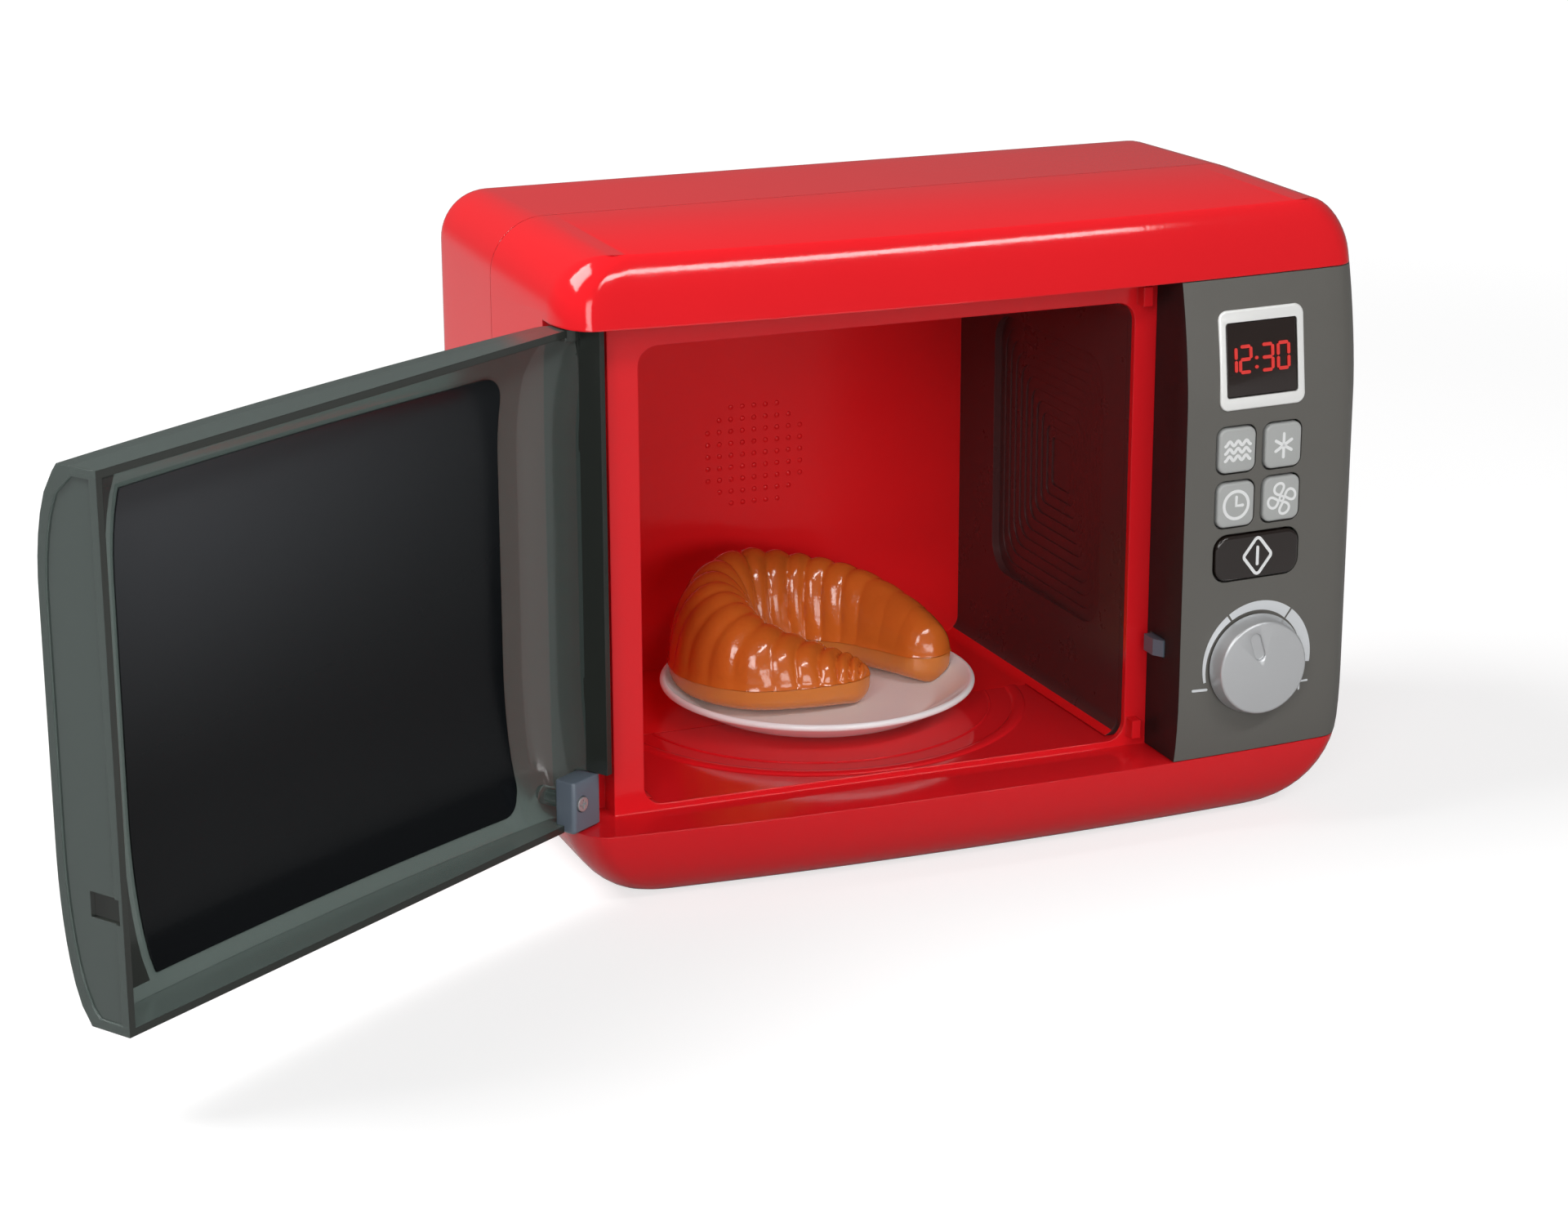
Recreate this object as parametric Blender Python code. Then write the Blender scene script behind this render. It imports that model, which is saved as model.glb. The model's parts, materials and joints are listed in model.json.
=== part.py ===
"""Toy microwave: a sprung-latch door, keys, a timer knob, a plate and a two-piece croissant.

Metres, +Z up. The front faces -Y. The origin is the centre of the flat underside.
"""

import math

import bmesh
import bpy
from mathutils import Matrix, Vector

# Driving dimensions of the housing
WIDTH = 0.300
HEIGHT = 0.228
DEPTH = 0.176
SEAM_Y = 0.008
FRONT_Y = -DEPTH / 2
WALL = 0.0025
GAP = 0.0003
OVERRUN = 0.020

# Outline of the front view
BOTTOM_CORNER = 0.0353
TOP_CORNER = 0.0197
CORNER_STEPS = 6
STRAIGHT_ROW_SHARES = (0.07, 0.17, 0.5, 0.7, 0.85)

# Bow and roundings of the front, as seen from above and from the side
BOW = 0.0072
BOW_POWER = 2.13
TOP_REACH = 0.0666
TOP_FALL = 0.01735
TOP_POWER = 1.5
BOTTOM_REACH = 0.0571
BOTTOM_FALL = 0.0261
BOTTOM_POWER = 2.25
EDGE_REACH = 0.011
EDGE_FALL = 0.0179
EDGE_STEPS = 4
MIDDLE_COLUMNS = 10

# Back of the housing
REAR_TAPER = 0.002
REAR_FILLET = 0.015
REAR_FILLET_STEPS = 4

# Belt: the recessed band that holds the door and the control panel
LOWER_LIP = 0.029
UPPER_LIP = 0.023
BELT_DEPTH = 0.0275
SILL_RISE = 0.0025
BELT_LOW = LOWER_LIP
BELT_HIGH = HEIGHT - UPPER_LIP
FLANGE_Y = FRONT_Y + BELT_DEPTH
SILL_TOP = BELT_LOW + SILL_RISE

# Stiles beside the cavity, and the pod behind the control panel
HINGE_STILE = 0.019
POD_WIDTH = 0.0756
LEFT_STILE = -WIDTH / 2 + HINGE_STILE
POD_LEFT = WIDTH / 2 - POD_WIDTH

# Cavity, and the ledges round its mouth
LEFT_LEDGE = 0.011
RIGHT_LEDGE = 0.0084
TOP_LEDGE = 0.010
BACK_ROOM = 0.007
CAVITY_LEFT = LEFT_STILE + LEFT_LEDGE
CAVITY_RIGHT = POD_LEFT - RIGHT_LEDGE
CAVITY_TOP = BELT_HIGH - TOP_LEDGE
CAVITY_BACK = DEPTH / 2 - BACK_ROOM
CAVITY_CORNER = 0.007
CAVITY_DRAFT = 0.003
TONGUE_LAP = 0.002
TONGUE_END = SEAM_Y + TONGUE_LAP

# Hinge axis and the pocket that the door's skirt turns in
HINGE_MARGIN = 0.005
HINGE_PROUD = 0.0025
POCKET_DEPTH = 0.010
HINGE_X = -WIDTH / 2 + HINGE_MARGIN
HINGE_Y = FLANGE_Y - HINGE_PROUD
POCKET_BACK = FLANGE_Y + POCKET_DEPTH
PIN_RADIUS = 0.002
PIN_CLEARANCE = 0.0003
DOOR_OPEN_DEGREES = 146.6


def shader_of(name, colour, roughness, metallic=0.0, alpha=1.0):
    material = bpy.data.materials.new(name)
    material.use_nodes = True
    shader = material.node_tree.nodes["Principled BSDF"]
    shader.inputs["Base Color"].default_value = (*colour, 1.0)
    shader.inputs["Roughness"].default_value = roughness
    shader.inputs["Metallic"].default_value = metallic
    shader.inputs["Alpha"].default_value = alpha
    return material


def object_of(name, points, faces):
    """A closed mesh object whose faces point outwards."""
    mesh = bpy.data.meshes.new(name)
    mesh.from_pydata(points, [], faces)
    shape = bmesh.new()
    shape.from_mesh(mesh)
    bmesh.ops.recalc_face_normals(shape, faces=shape.faces)
    shape.to_mesh(mesh)
    shape.free()
    made = bpy.data.objects.new(name, mesh)
    bpy.context.scene.collection.objects.link(made)
    return made


def combine(target, operation, tools):
    """Applies a Boolean with each tool in turn, and removes the tools."""
    for tool in tools:
        modifier = target.modifiers.new(operation.lower(), "BOOLEAN")
        modifier.operation = operation
        modifier.solver = "EXACT"
        modifier.object = tool
        graph = bpy.context.evaluated_depsgraph_get()
        shaped = bpy.data.meshes.new_from_object(target.evaluated_get(graph))
        target.modifiers.clear()
        target.data = shaped
        bpy.data.objects.remove(tool)
    return target


def cut(target, *tools):
    return combine(target, "DIFFERENCE", tools)


def join(target, *tools):
    return combine(target, "UNION", tools)


def keep(target, *tools):
    return combine(target, "INTERSECT", tools)


def prism(outline, low, high, axis="Y"):
    """Extrudes a closed outline from low to high. The outline's pairs are the other two axes in order."""
    order = {"X": (2, 0, 1), "Y": (0, 2, 1), "Z": (0, 1, 2)}[axis]
    points = []
    for level in (low, high):
        for first, second in outline:
            flat = (first, second, level)
            points.append(tuple(flat[place] for place in order))
    count = len(outline)
    faces = [tuple(range(count)), tuple(range(count, 2 * count))]
    for here in range(count):
        after = (here + 1) % count
        faces.append((here, after, count + after, count + here))
    return object_of("prism", points, faces)


def box(low, high):
    outline = ((low[0], low[1]), (high[0], low[1]), (high[0], high[1]), (low[0], high[1]))
    return prism(outline, low[2], high[2], "Z")


def arc(centre, radius, start, end, steps):
    """Points on an arc, with the angles in quarter turns."""
    points = []
    for step in range(steps + 1):
        turn = math.pi / 2 * (start + (end - start) * step / steps)
        points.append((centre[0] + radius * math.cos(turn), centre[1] + radius * math.sin(turn)))
    return points


def rounded(left, bottom, right, top, radius, steps=3):
    """A rectangle with round corners."""
    outline = arc((right - radius, top - radius), radius, 0, 1, steps)
    outline += arc((left + radius, top - radius), radius, 1, 2, steps)
    outline += arc((left + radius, bottom + radius), radius, 2, 3, steps)
    outline += arc((right - radius, bottom + radius), radius, 3, 4, steps)
    return outline


def disc(centre, radius, steps=16):
    outline = arc(centre, radius, 0, 4, steps)
    return outline[:-1]


def turned(profile, centre, axis="Y", steps=32):
    """Turns a closed profile of (radius, height) pairs about an axis through centre."""
    points = []
    for step in range(steps):
        turn = 2 * math.pi * step / steps
        for radius, height in profile:
            across = (radius * math.cos(turn), radius * math.sin(turn))
            if axis == "Y":
                points.append((centre[0] + across[0], height, centre[1] + across[1]))
            elif axis == "X":
                points.append((height, centre[0] + across[0], centre[1] + across[1]))
            else:
                points.append((centre[0] + across[0], centre[1] + across[1], height))
    count = len(profile)
    faces = []
    for step in range(steps):
        following = (step + 1) % steps
        for here in range(count):
            after = (here + 1) % count
            faces.append((
                step * count + here,
                step * count + after,
                following * count + after,
                following * count + here,
            ))
    return welded(object_of("turned", points, faces))


def welded(made):
    """Merges points that coincide, drops edges left without a face, and turns the faces outwards."""
    shape = bmesh.new()
    shape.from_mesh(made.data)
    bmesh.ops.remove_doubles(shape, verts=shape.verts, dist=GAP / 30)
    bare = [edge for edge in shape.edges if not edge.link_faces]
    bmesh.ops.delete(shape, geom=bare, context="EDGES")
    bmesh.ops.recalc_face_normals(shape, faces=shape.faces)
    shape.to_mesh(made.data)
    shape.free()
    return made


def rod(centre, radius, low, high, axis="Y", steps=16):
    return prism(disc(centre, radius, steps), low, high, axis)


def fall(reach, extent, depth, power):
    """How far a rounded edge has dropped back, at this reach into its extent."""
    share = min(max(reach / extent, 0.0), 1.0)
    return depth * (1 - (1 - share ** power) ** (1 / power))


def outline_rows(inset):
    """Heights and half widths of the front outline, from the underside to the top."""
    low_radius = BOTTOM_CORNER - inset
    high_radius = TOP_CORNER - inset
    rows = []
    for step in range(CORNER_STEPS + 1):
        turn = math.pi / 2 * step / CORNER_STEPS
        height = inset + low_radius * (1 - math.cos(turn))
        rows.append((height, WIDTH / 2 - BOTTOM_CORNER + low_radius * math.sin(turn)))
    straight = HEIGHT - BOTTOM_CORNER - TOP_CORNER
    for share in STRAIGHT_ROW_SHARES:
        rows.append((BOTTOM_CORNER + share * straight, WIDTH / 2 - inset))
    for step in range(CORNER_STEPS + 1):
        turn = math.pi / 2 * step / CORNER_STEPS
        height = HEIGHT - TOP_CORNER + high_radius * math.sin(turn)
        rows.append((height, WIDTH / 2 - TOP_CORNER + high_radius * math.cos(turn)))
    return rows


def half_width_at(height, inset):
    """Half the width of the front outline at a height."""
    half = WIDTH / 2 - inset
    below = BOTTOM_CORNER - height
    above = height - (HEIGHT - TOP_CORNER)
    if below > 0:
        radius = BOTTOM_CORNER - inset
        half = WIDTH / 2 - BOTTOM_CORNER + math.sqrt(max(radius ** 2 - below ** 2, 0.0))
    if above > 0:
        radius = TOP_CORNER - inset
        half = WIDTH / 2 - TOP_CORNER + math.sqrt(max(radius ** 2 - above ** 2, 0.0))
    return half


class Rounding:
    """How a front surface rounds off at its top and bottom edges."""

    def __init__(self, top, low, proud=0.0):
        """top and low each hold the edge's height, and the reach, depth and power of its rounding."""
        self.top = top
        self.low = low
        self.proud = proud

    def fall_at(self, height, inset):
        top_z, top_reach, top_fall, top_power = self.top
        low_z, low_reach, low_fall, low_power = self.low
        above = fall(top_reach - (top_z - inset - height), top_reach, top_fall, top_power)
        below = fall(low_reach - (height - inset - low_z), low_reach, low_fall, low_power)
        return above + below - self.proud


BODY_ROUNDING = Rounding(
    (HEIGHT, TOP_REACH, TOP_FALL, TOP_POWER),
    (0.0, BOTTOM_REACH, BOTTOM_FALL, BOTTOM_POWER),
)


def front_y(x, height, inset=0.0, rounding=BODY_ROUNDING):
    """The bowed front surface. A positive inset lies inside the outer skin."""
    half = half_width_at(height, inset)
    end_half = WIDTH / 2 - (BOTTOM_CORNER if height < HEIGHT / 2 else TOP_CORNER)
    full = (half - end_half) / (WIDTH / 2 - inset - end_half)
    y = -DEPTH / 2 + inset + BOW * (2 * abs(x) / WIDTH) ** BOW_POWER
    y += rounding.fall_at(height, inset)
    return y + full * fall(EDGE_REACH - (half - abs(x)), EDGE_REACH, EDGE_FALL, 2)


def column_places(half):
    """Places across one row, closer together where the edges round off."""
    middle = half - EDGE_REACH
    places = []
    for step in range(MIDDLE_COLUMNS + 1):
        places.append(middle * (2 * step / MIDDLE_COLUMNS - 1))
    for step in range(1, EDGE_STEPS + 1):
        turn = math.pi / 2 * step / EDGE_STEPS
        place = middle + EDGE_REACH * math.sin(turn)
        places.append(place)
        places.insert(0, -place)
    return places


def blank(inset, back, rounding=BODY_ROUNDING):
    """The full front form as one solid, from its bowed front to a flat back."""
    rows = outline_rows(inset)
    points = []
    for height, half in rows:
        for x in column_places(half):
            points.append((x, front_y(x, height, inset, rounding), height))
    across = len(points) // len(rows)
    faces = []
    for row in range(len(rows) - 1):
        for column in range(across - 1):
            corner = row * across + column
            faces.append((corner, corner + 1, corner + across + 1, corner + across))
    border = list(range(across))
    border += [row * across + across - 1 for row in range(1, len(rows))]
    border += [(len(rows) - 1) * across + column for column in range(across - 2, -1, -1)]
    border += [row * across for row in range(len(rows) - 2, 0, -1)]
    first_back = len(points)
    points += [(points[place][0], back, points[place][2]) for place in border]
    count = len(border)
    for here in range(count):
        after = (here + 1) % count
        faces.append((border[here], border[after], first_back + after, first_back + here))
    faces.append(tuple(range(first_back, first_back + count)))
    return object_of("blank", points, faces)


def outline_of(inset):
    """The front view's rounded outline, drawn in by an inset."""
    rows = outline_rows(inset)
    outline = [(half, height) for height, half in rows]
    outline += [(-half, height) for height, half in reversed(rows)]
    return outline


def rear_blank(inset):
    """The rear half's form: a slight taper over a level underside, then a fillet into the flat back."""
    rings = [(SEAM_Y + GAP - (OVERRUN if inset else 0), 0.0, 0.0)]
    back = DEPTH / 2 - inset
    for step in range(REAR_FILLET_STEPS + 1):
        turn = math.pi / 2 * step / REAR_FILLET_STEPS
        rings.append((
            back - REAR_FILLET * (1 - math.sin(turn)),
            REAR_TAPER,
            REAR_FILLET * (1 - math.cos(turn)),
        ))
    points = []
    for y, taper, fillet in rings:
        drawn_in = inset + taper + fillet
        height_left = HEIGHT - 2 * drawn_in
        for x, height in outline_of(drawn_in):
            drop = taper * (HEIGHT - drawn_in - height) / height_left
            points.append((x, y, height - drop))
    count = len(points) // len(rings)
    faces = [tuple(range(count)), tuple(range(len(points) - count, len(points)))]
    for ring in range(len(rings) - 1):
        for here in range(count):
            after = (here + 1) % count
            start = ring * count
            faces.append((start + here, start + after, start + count + after, start + count + here))
    return object_of("rear blank", points, faces)


def pivot(made, place):
    """Moves a piece's origin to its joint, without moving the piece."""
    made.data.transform(Matrix.Translation(-Vector(place)))
    made.location = place
    return made


def finish(made, name, material):
    """Names a finished piece and gives it its material."""
    made.name = name
    made.data.name = name
    made.data.materials.clear()
    made.data.materials.append(material)
    made.data.shade_smooth()
    made.data.set_sharp_from_angle(angle=math.radians(30))
    return made


# Housing screws: posts from both halves meet at the seam
SCREW_MARGIN = 0.022
SCREW_DROP = 0.022
SCREW_X = WIDTH / 2 - SCREW_MARGIN
SCREW_LOW_Z = 0.020
SCREW_HIGH_Z = HEIGHT - SCREW_DROP
POST_RADIUS = 0.0045
WELL_RADIUS = 0.0036
WELL_WALL = 0.0014
SHANK_RADIUS = 0.0014
SCREW_HEAD_RADIUS = 0.0030
SCREW_HEAD = 0.0020
WELL_FLOOR = 0.0030
SCREW_LENGTH = 0.014
SCREW_PLACES = [
    (side * SCREW_X, height) for side in (-1, 1) for height in (SCREW_LOW_Z, SCREW_HIGH_Z)
]

# Pod window in the flange plate, for the wires and the back of the keys
WINDOW_LEFT_LAND = 0.0096
WINDOW_LOW_LAND = 0.011
WINDOW_RIGHT_LAND = 0.019
POD_WINDOW = (
    POD_LEFT + WINDOW_LEFT_LAND,
    BELT_LOW + WINDOW_LOW_LAND,
    WIDTH / 2 - WINDOW_RIGHT_LAND,
    BELT_HIGH - TOP_LEDGE,
)
POD_WINDOW_CORNER = 0.004

# Door stops on the right stile
STOP_INSET = 0.0008
STOP_WIDTH = 0.0036
STOP_LEFT = CAVITY_RIGHT + STOP_INSET
STOP_DEPTH = 0.005
STOP_LENGTH = 0.007
DOOR_WALL = 0.0025
DOOR_GAP_Z = 0.0006
STOP_GAP = 0.0009

# Ring moulded on the cavity floor, with a fine line inside it
RING_OFFSET = 0.002
RING_BACK_ROOM = 0.059
RING_X = (CAVITY_LEFT + CAVITY_RIGHT) / 2 + RING_OFFSET
RING_Y = CAVITY_BACK - RING_BACK_ROOM
RING_RADIUS = 0.0790
RING_HALF_WIDTH = 0.0025
RING_HEIGHT = 0.0010
LINE_RADIUS = 0.0680
LINE_HALF_WIDTH = 0.0006
LINE_HEIGHT = 0.0005
RING_STEPS = 48


def floor_ring(radius, half_width, height):
    profile = [(radius - half_width, SILL_TOP - WALL / 2), (radius + half_width, SILL_TOP - WALL / 2)]
    for x, rise in arc((radius, SILL_TOP), half_width, 0, 2, 4):
        profile.append((x, SILL_TOP + (rise - SILL_TOP) * height / half_width))
    ring = turned(profile, (RING_X, RING_Y), "Z", RING_STEPS)
    front = box(
        (CAVITY_LEFT + WALL, FLANGE_Y + WALL / 2, BELT_LOW - OVERRUN),
        (CAVITY_RIGHT - WALL, TONGUE_END - WALL / 4, BELT_HIGH),
    )
    return keep(ring, front)


def cavity_outline(draft=0.0, grow=0.0):
    """The cavity's mouth, drawn in by its draft or grown by a wall."""
    return rounded(
        CAVITY_LEFT + draft - grow,
        SILL_TOP - grow,
        CAVITY_RIGHT - draft + grow,
        CAVITY_TOP - draft + grow,
        CAVITY_CORNER,
        5,
    )


def belt_cut():
    """Everything that the belt takes out of the front form."""
    front = -DEPTH
    band = box((-WIDTH, front, BELT_LOW), (WIDTH, FLANGE_Y, BELT_HIGH))
    pocket = box((-WIDTH, front, BELT_LOW), (LEFT_STILE, POCKET_BACK, BELT_HIGH))
    return band, pocket


def make_front_housing(material):
    housing = blank(0.0, SEAM_Y)
    cut(housing, blank(WALL, SEAM_Y + OVERRUN))
    belt = keep(
        blank(0.0, SEAM_Y),
        box((-WIDTH, -DEPTH, BELT_LOW - WALL), (WIDTH, POCKET_BACK + WALL, BELT_HIGH + WALL)),
    )
    hollow = box(
        (LEFT_STILE + WALL, FLANGE_Y + WALL, BELT_LOW - WALL - OVERRUN),
        (WIDTH / 2 - WALL, OVERRUN, BELT_HIGH + WALL + OVERRUN),
    )
    cut(belt, hollow)
    join(housing, belt)
    cut(housing, *belt_cut())
    tongue = box(
        (CAVITY_LEFT + GAP, FLANGE_Y + WALL / 2, BELT_LOW - WALL / 2),
        (CAVITY_RIGHT - GAP, TONGUE_END, SILL_TOP),
    )
    join(housing, tongue)
    cut(housing, prism(cavity_outline(), FLANGE_Y - WALL, FLANGE_Y + WALL * 2))
    join(housing, floor_ring(RING_RADIUS, RING_HALF_WIDTH, RING_HEIGHT))
    join(housing, floor_ring(LINE_RADIUS, LINE_HALF_WIDTH, LINE_HEIGHT))
    window = rounded(*POD_WINDOW, POD_WINDOW_CORNER)
    cut(housing, prism(window, FLANGE_Y - WALL, FLANGE_Y + WALL * 2))
    low_stop = BELT_LOW + DOOR_GAP_Z + DOOR_WALL + STOP_GAP
    high_stop = BELT_HIGH - DOOR_GAP_Z - DOOR_WALL - STOP_GAP - STOP_LENGTH
    for height in (low_stop, high_stop):
        stop = box(
            (STOP_LEFT, FLANGE_Y - STOP_DEPTH, height),
            (STOP_LEFT + STOP_WIDTH, FLANGE_Y + WALL / 2, height + STOP_LENGTH),
        )
        join(housing, stop)
    for level in (BELT_LOW, BELT_HIGH):
        bore = rod((HINGE_X, HINGE_Y), PIN_RADIUS + PIN_CLEARANCE, level - 2 * WALL, level + 2 * WALL, "Z")
        cut(housing, bore)
    for x, height in SCREW_PLACES:
        front = -DEPTH
        if height > BELT_LOW:
            front = (POCKET_BACK if x < 0 else FLANGE_Y) + WALL / 2
        post = rod((x, height), POST_RADIUS, front, SEAM_Y)
        join(housing, keep(post, blank(WALL / 2, OVERRUN)))
        pilot = SEAM_Y - SCREW_LENGTH - WALL
        cut(housing, rod((x, height), SHANK_RADIUS + GAP, pilot, SEAM_Y + OVERRUN, steps=12))
    return finish(housing, "front_housing", material)


# Battery compartment in the lower right of the back
BATTERY_RADIUS = 0.00725
BATTERY_LENGTH = 0.0505
BATTERY_NUB_RADIUS = 0.0025
BATTERY_NUB = 0.0010
BATTERY_PITCH = 0.0152
BATTERY_COUNT = 3
BATTERY_MARGIN = 0.046
BATTERY_X = WIDTH / 2 - BATTERY_MARGIN
BATTERY_LOW_Z = 0.0330
CONTACT_ROOM = 0.0030
BOX_WALL = 0.0016
BOX_DEPTH = 0.0215
BOX_FLOOR_Y = DEPTH / 2 - BOX_DEPTH
COVER_MARGIN = 0.0015
COVER_CORNER = 0.003
COVER_TAB_WIDTH = 0.012
COVER_TAB_DEPTH = 0.0015
COVER_TAB_REACH = 0.0035
COVER_SCREW_DROP = 0.006
COVER_LAND = 0.012

# Speaker behind its grille, between the battery cover and the upper screw
SPEAKER_PLACE_SHARE = 0.459
SPEAKER_RADIUS = 0.025
SPEAKER_DEPTH = 0.015
SPEAKER_FLANGE = 0.0015
MAGNET_RADIUS = 0.011
MAGNET_DEPTH = 0.006
SPEAKER_RIM = 0.004
GRILLE_SLOTS = 7
GRILLE_PITCH = 0.0060
GRILLE_SLOT = 0.0024

# Vents behind the cavity
VENT_SLOTS = 9
VENT_PITCH = 0.0080
VENT_WIDTH = 0.0030
VENT_OFFSET = 0.005
VENT_X = RING_X - VENT_OFFSET
VENT_DROP = 0.043
VENT_LENGTH = 0.035
VENT_HIGH_Z = HEIGHT - VENT_DROP
VENT_LOW_Z = VENT_HIGH_Z - VENT_LENGTH
SLOT_END_STEPS = 3


def battery_room():
    """Left, bottom, right and top of the space that the batteries and contacts take."""
    half = BATTERY_PITCH * BATTERY_COUNT / 2
    top = BATTERY_LOW_Z + BATTERY_LENGTH + BATTERY_NUB + 2 * CONTACT_ROOM
    return BATTERY_X - half, BATTERY_LOW_Z, BATTERY_X + half, top


def cover_opening():
    left, bottom, right, top = battery_room()
    return left, bottom, right, top + COVER_LAND


def cover_screw_z():
    return cover_opening()[3] - COVER_SCREW_DROP


def speaker_z():
    cover_top = cover_opening()[3]
    return cover_top + SPEAKER_PLACE_SHARE * (SCREW_HIGH_Z - cover_top)


def slot_outline(centre_x, low, high, width):
    """A slot with round ends."""
    outline = arc((centre_x, high - width / 2), width / 2, 0, 2, SLOT_END_STEPS)
    outline += arc((centre_x, low + width / 2), width / 2, 2, 4, SLOT_END_STEPS)
    return outline


def make_rear_housing(material):
    housing = rear_blank(0.0)
    cut(housing, rear_blank(WALL))
    back = DEPTH / 2
    for x, height in SCREW_PLACES:
        well = rod((x, height), WELL_RADIUS + WELL_WALL, SEAM_Y + GAP, back)
        join(housing, keep(well, rear_blank(WALL / 2)))
        cut(housing, rod((x, height), WELL_RADIUS, SEAM_Y + GAP + WELL_FLOOR, back + OVERRUN))
        cut(housing, rod((x, height), SHANK_RADIUS + GAP, SEAM_Y - OVERRUN, back, steps=12))
    cut(housing, prism(rounded(*cover_opening(), COVER_CORNER), back - WALL - OVERRUN / 4, back + OVERRUN))
    middle = speaker_z()
    for slot in range(GRILLE_SLOTS):
        offset = (slot - (GRILLE_SLOTS - 1) / 2) * GRILLE_PITCH
        reach = math.sqrt((SPEAKER_RADIUS - GRILLE_PITCH / 2) ** 2 - offset ** 2)
        outline = slot_outline(BATTERY_X + offset, middle - reach, middle + reach, GRILLE_SLOT)
        cut(housing, prism(outline, back - 2 * WALL, back + OVERRUN))
    for slot in range(VENT_SLOTS):
        offset = (slot - (VENT_SLOTS - 1) / 2) * VENT_PITCH
        outline = slot_outline(VENT_X + offset, VENT_LOW_Z, VENT_HIGH_Z, VENT_WIDTH)
        cut(housing, prism(outline, back - 2 * WALL, back + OVERRUN))
    return finish(housing, "rear_housing", material)


# Stepped relief in the cavity's right wall
RELIEF_STEPS = 8
RELIEF_DEPTH = 0.0056
RELIEF_LOW_SHARES = (0.159, 0.217)
RELIEF_HIGH_SHARES = (0.788, 0.841)
RELIEF_CENTRE_SHARES = (0.4735, 0.529)
RELIEF_INNER_SHARE = 0.12
RELIEF_CORNER = 0.012
LINER_RIM = 0.006


def on_side_wall(shares):
    """A place (y, z) on the cavity's side wall, from its shares of the wall's depth and height."""
    y = FLANGE_Y + shares[0] * (CAVITY_BACK - FLANGE_Y)
    return y, SILL_TOP + shares[1] * (CAVITY_TOP - SILL_TOP)


def relief_outline(step, grow=0.0):
    """One of the nested round-cornered steps, as (y, z)."""
    share = 1 - (1 - RELIEF_INNER_SHARE) * step / RELIEF_STEPS
    y, z = on_side_wall(RELIEF_CENTRE_SHARES)
    low_y, low_z = on_side_wall(RELIEF_LOW_SHARES)
    high_y, high_z = on_side_wall(RELIEF_HIGH_SHARES)
    return rounded(
        y + (low_y - y) * share - grow,
        z + (low_z - z) * share - grow,
        y + (high_y - y) * share + grow,
        z + (high_z - z) * share + grow,
        RELIEF_CORNER * share + grow,
        4,
    )


def make_cavity_liner(material):
    mouth = FLANGE_Y + WALL + GAP
    liner = tapered(cavity_outline(0.0, WALL), cavity_outline(CAVITY_DRAFT, WALL), mouth, CAVITY_BACK + WALL)
    rim = rounded(
        LEFT_STILE + WALL + GAP,
        SILL_TOP + CAVITY_CORNER,
        POD_WINDOW[0] - GAP,
        CAVITY_TOP + LINER_RIM,
        CAVITY_CORNER,
    )
    join(liner, prism(rim, mouth, mouth + WALL))
    relief_back = CAVITY_RIGHT + RELIEF_DEPTH + WALL
    join(liner, prism(relief_outline(0, WALL), CAVITY_RIGHT - CAVITY_DRAFT, relief_back, "X"))
    cut(liner, tapered(cavity_outline(), cavity_outline(CAVITY_DRAFT), mouth - GAP, CAVITY_BACK))
    opened_mouth = box(
        (CAVITY_LEFT, mouth - GAP, 0.0),
        (CAVITY_RIGHT, mouth + WALL + GAP, CAVITY_TOP - CAVITY_CORNER),
    )
    cut(liner, opened_mouth)
    for step in range(RELIEF_STEPS):
        depth = RELIEF_DEPTH * (step + 1) / RELIEF_STEPS
        cut(liner, prism(relief_outline(step), CAVITY_RIGHT - OVERRUN, CAVITY_RIGHT + depth, "X"))
    floor_notch = box(
        (CAVITY_LEFT - WALL - OVERRUN, mouth - OVERRUN, 0.0),
        (CAVITY_RIGHT + WALL + OVERRUN, TONGUE_END + GAP, SILL_TOP + GAP),
    )
    cut(liner, floor_notch)
    return finish(liner, "cavity_liner", material)


def tapered(near, far, low, high):
    """A prism along Y whose outline changes from near to far."""
    points = [(x, low, z) for x, z in near] + [(x, high, z) for x, z in far]
    count = len(near)
    faces = [tuple(range(count)), tuple(range(count, 2 * count))]
    for here in range(count):
        after = (here + 1) % count
        faces.append((here, after, count + after, count + here))
    return object_of("tapered", points, faces)


def panel_place(across_share, up_share):
    """A place (x, z) on the control panel, from its shares of the panel's width and height."""
    return POD_LEFT + across_share * POD_WIDTH, BELT_LOW + up_share * (BELT_HIGH - BELT_LOW)


def panel_frame(shares):
    """Left, bottom, right and top of a rectangle on the control panel."""
    left, low, right, high = shares
    return (*panel_place(left, low), *panel_place(right, high))


# Control panel and what shows on it. The shares are of the panel's width and height
PANEL_WALL = 0.0025
FIT = 0.0004
BEZEL = panel_frame(shares=(0.1534, 0.7330, 0.6481, 0.9409))
BEZEL_PROUD = 0.0010
BEZEL_CORNER = 0.0035
DISPLAY = panel_frame(shares=(0.1931, 0.7614, 0.6032, 0.9148))
DISPLAY_CORNER = 0.0020
DISPLAY_PROUD = 0.0004
DISPLAY_BACK = 0.0040
KEY_WIDTH_SHARE = 0.2116
KEY_HEIGHT_SHARE = 0.1006
KEY_WIDTH = KEY_WIDTH_SHARE * POD_WIDTH
KEY_HEIGHT = KEY_HEIGHT_SHARE * (BELT_HIGH - BELT_LOW)
KEY_CORNER = 0.0032
KEY_PROUD = 0.0012
KEY_LIP = 0.0008
KEY_LIP_DEPTH = 0.0010
KEY_TRAVEL = 0.0012
KEY_STEM_RADIUS = 0.0030
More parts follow.
